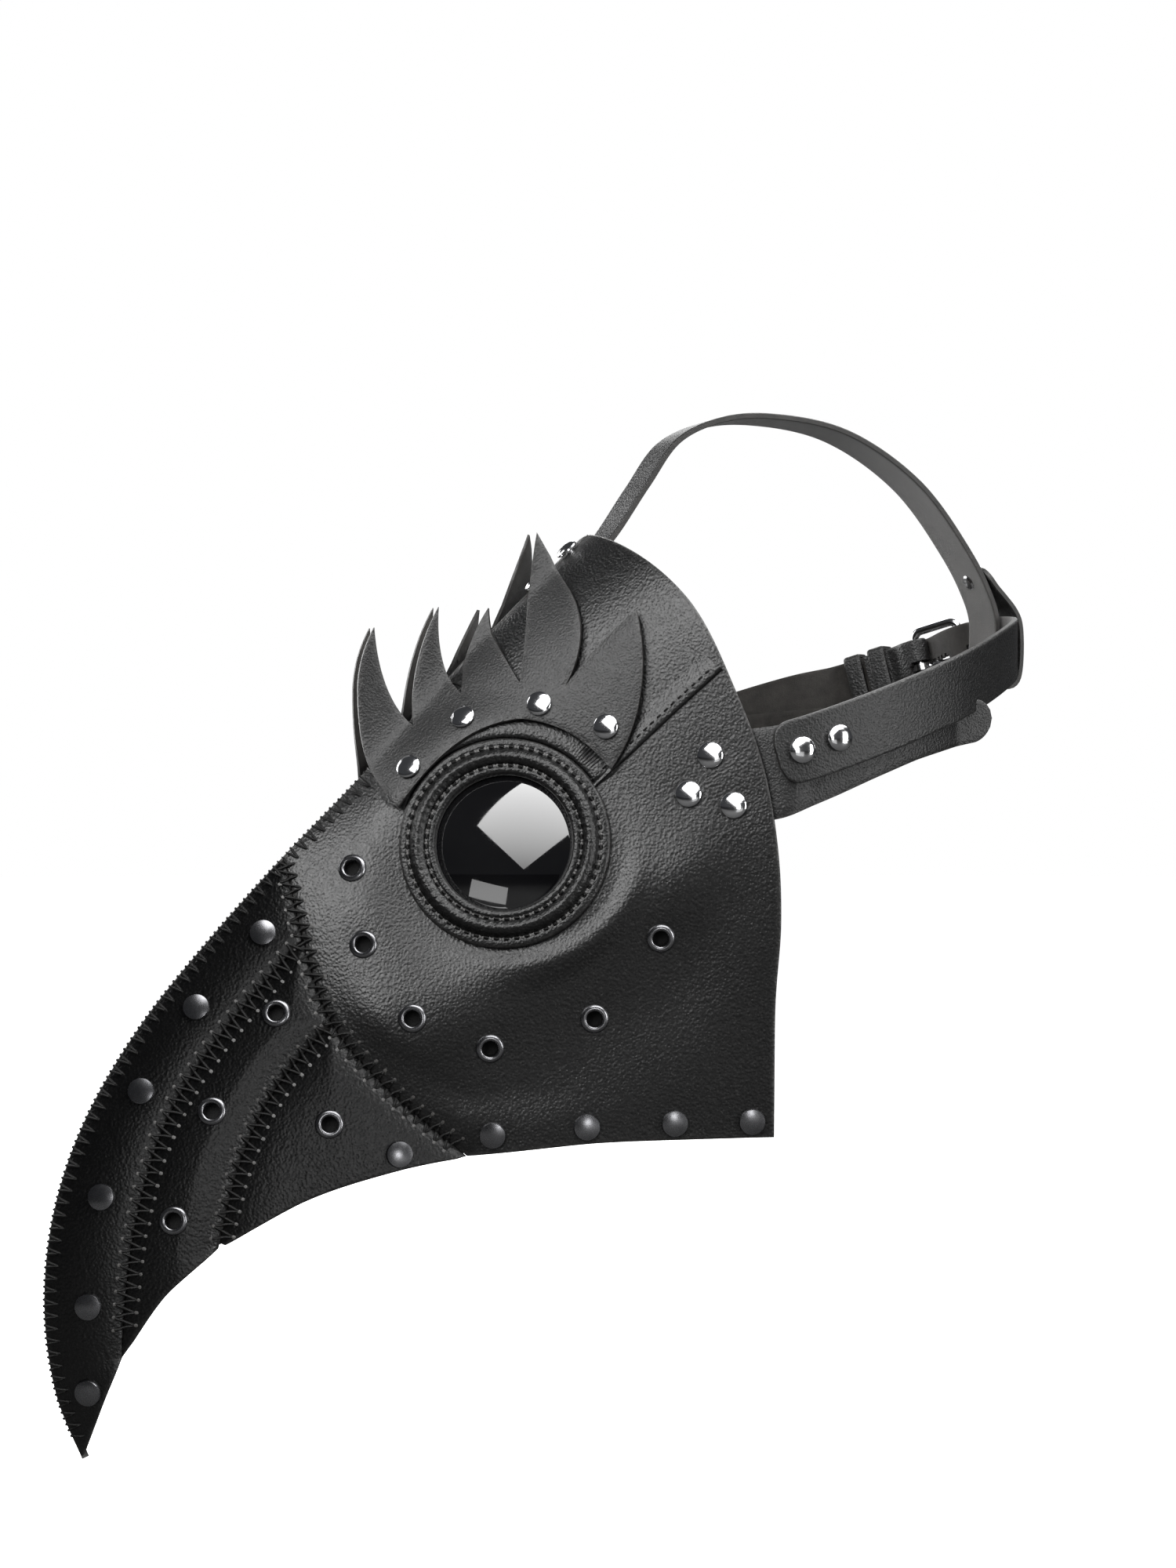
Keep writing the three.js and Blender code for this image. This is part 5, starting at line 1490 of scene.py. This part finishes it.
# name, direction, distance, size, power, turn in its own plane, pieces it is kept off
LIGHTS = [
    ("lens_softbox", (0.03, 0.55, 0.85), 1.5, (1.3, 1.3), 32, 42, hides + pieces_of(GUN)),
    ("lens_card", (-0.38, -0.24, 0.89), 0.6, (0.26, 0.12), 0.22, -14, hides + metals),
    ("face_key", (-0.528, 0.515, 0.675), 1.5, (0.95, 0.85), 21, 0, glass + beak + metals),
    ("cheek_strip", (-0.39, 0.27, 0.88), 1.5, (0.3, 0.7), 3.4, 0, glass + beak + metals + rings),
    ("face_side", (0.20, 0.559, 0.804), 1.5, (0.4, 0.5), 2.6, 0, glass + beak + metals + rings),
    ("top_front_key", (0.104, 0.866, 0.489), 1.5, (0.9, 0.7), 12, 30, glass + beak),
    ("right_key", (0.50, 0.707, 0.50), 1.5, (0.9, 0.9), 6, 0, glass),
    ("right_strip", (0.88, 0.04, 0.46), 1.5, (0.35, 0.8), 9, 0, glass),
    ("top_rear_softbox", (0.75, 1.0, 0.05), 1.5, (1.0, 0.8), 16, 0, glass),
    ("low_right_fill", (0.33, -0.17, 0.92), 0.9, (0.45, 0.22), 0.18, 0, glass),
    ("beak_fill", (0.20, 0.02, 0.98), 1.2, (0.25, 0.25), 1.4, 0, glass + face),
    ("rim_left", (-1.0, 0.45, -0.35), 1.5, (0.5, 1.0), 5, 0, []),
    ("rear_fill", (0.2, 0.6, -1.0), 1.8, (1.2, 1.2), 14, 0, []),
    ("far_key", (-0.80, 0.22, -0.80), 1.5, (1.1, 0.8), 14, 0, []),
    ("far_fill", (-0.80, -0.02, -0.60), 1.3, (0.5, 0.5), 4, 0, []),
]
for name, direction, distance, size, power, spin, shaded in LIGHTS:
    light = area(name, direction, distance, size, power, spin)
    if name == "lens_softbox":
        fall_off(light, 0.35, 1.6)
    if shaded:
        flag_off(light, shaded)


def surroundings():
    """White behind the object, and a faint cool light everywhere else."""
    world = bpy.data.worlds.new("studio")
    world.use_nodes = True
    bpy.context.scene.world = world
    tree = world.node_tree
    faint, white = tree.nodes["Background"], tree.nodes.new("ShaderNodeBackground")
    for node, color, strength in ((faint, (0.9, 0.93, 1.0, 1), 0.05), (white, (1, 1, 1, 1), 1.0)):
        node.inputs["Color"].default_value = color
        node.inputs["Strength"].default_value = strength
    mixer = tree.nodes.new("ShaderNodeMixShader")
    path = tree.nodes.new("ShaderNodeLightPath")
    for k, out in enumerate((path.outputs["Is Camera Ray"], faint.outputs[0], white.outputs[0])):
        tree.links.new(out, mixer.inputs[k])
    tree.links.new(mixer.outputs[0], tree.nodes["World Output"].inputs[0])


def floor():
    """Pale floor; rays other than the camera's meet it dark, so it doesn't show in the lens and metal."""
    m = Nodes("floor_looks")
    tone = m.mix(m.noise(3, 3, 0.5), (0.93, 0.93, 0.93), (0.97, 0.97, 0.97))
    seen = m.add("ShaderNodeLightPath").outputs["Is Camera Ray"]
    mat = m.set(Base_Color=m.mix(seen, (0.02, 0.02, 0.02), tone), Roughness=0.9)
    m.bsdf.inputs["Emission Color"].default_value = (1, 1, 1, 1)
    m.link(m.math("MULTIPLY", seen, 0.96), m.bsdf.inputs["Emission Strength"])
    n, r, level = 96, 9.0, -0.30
    verts = [(r * math.cos(2 * math.pi * k / n), r * math.sin(2 * math.pi * k / n), level) for k in range(n)]
    me = bpy.data.meshes.new("studio_floor")
    me.from_pydata(verts, [], [tuple(range(n))])
    me.materials.append(mat)
    o = bpy.data.objects.new("studio_floor", me)
    bpy.context.scene.collection.objects.link(o)


surroundings()
floor()
bpy.context.scene.view_settings.view_transform = "Standard"
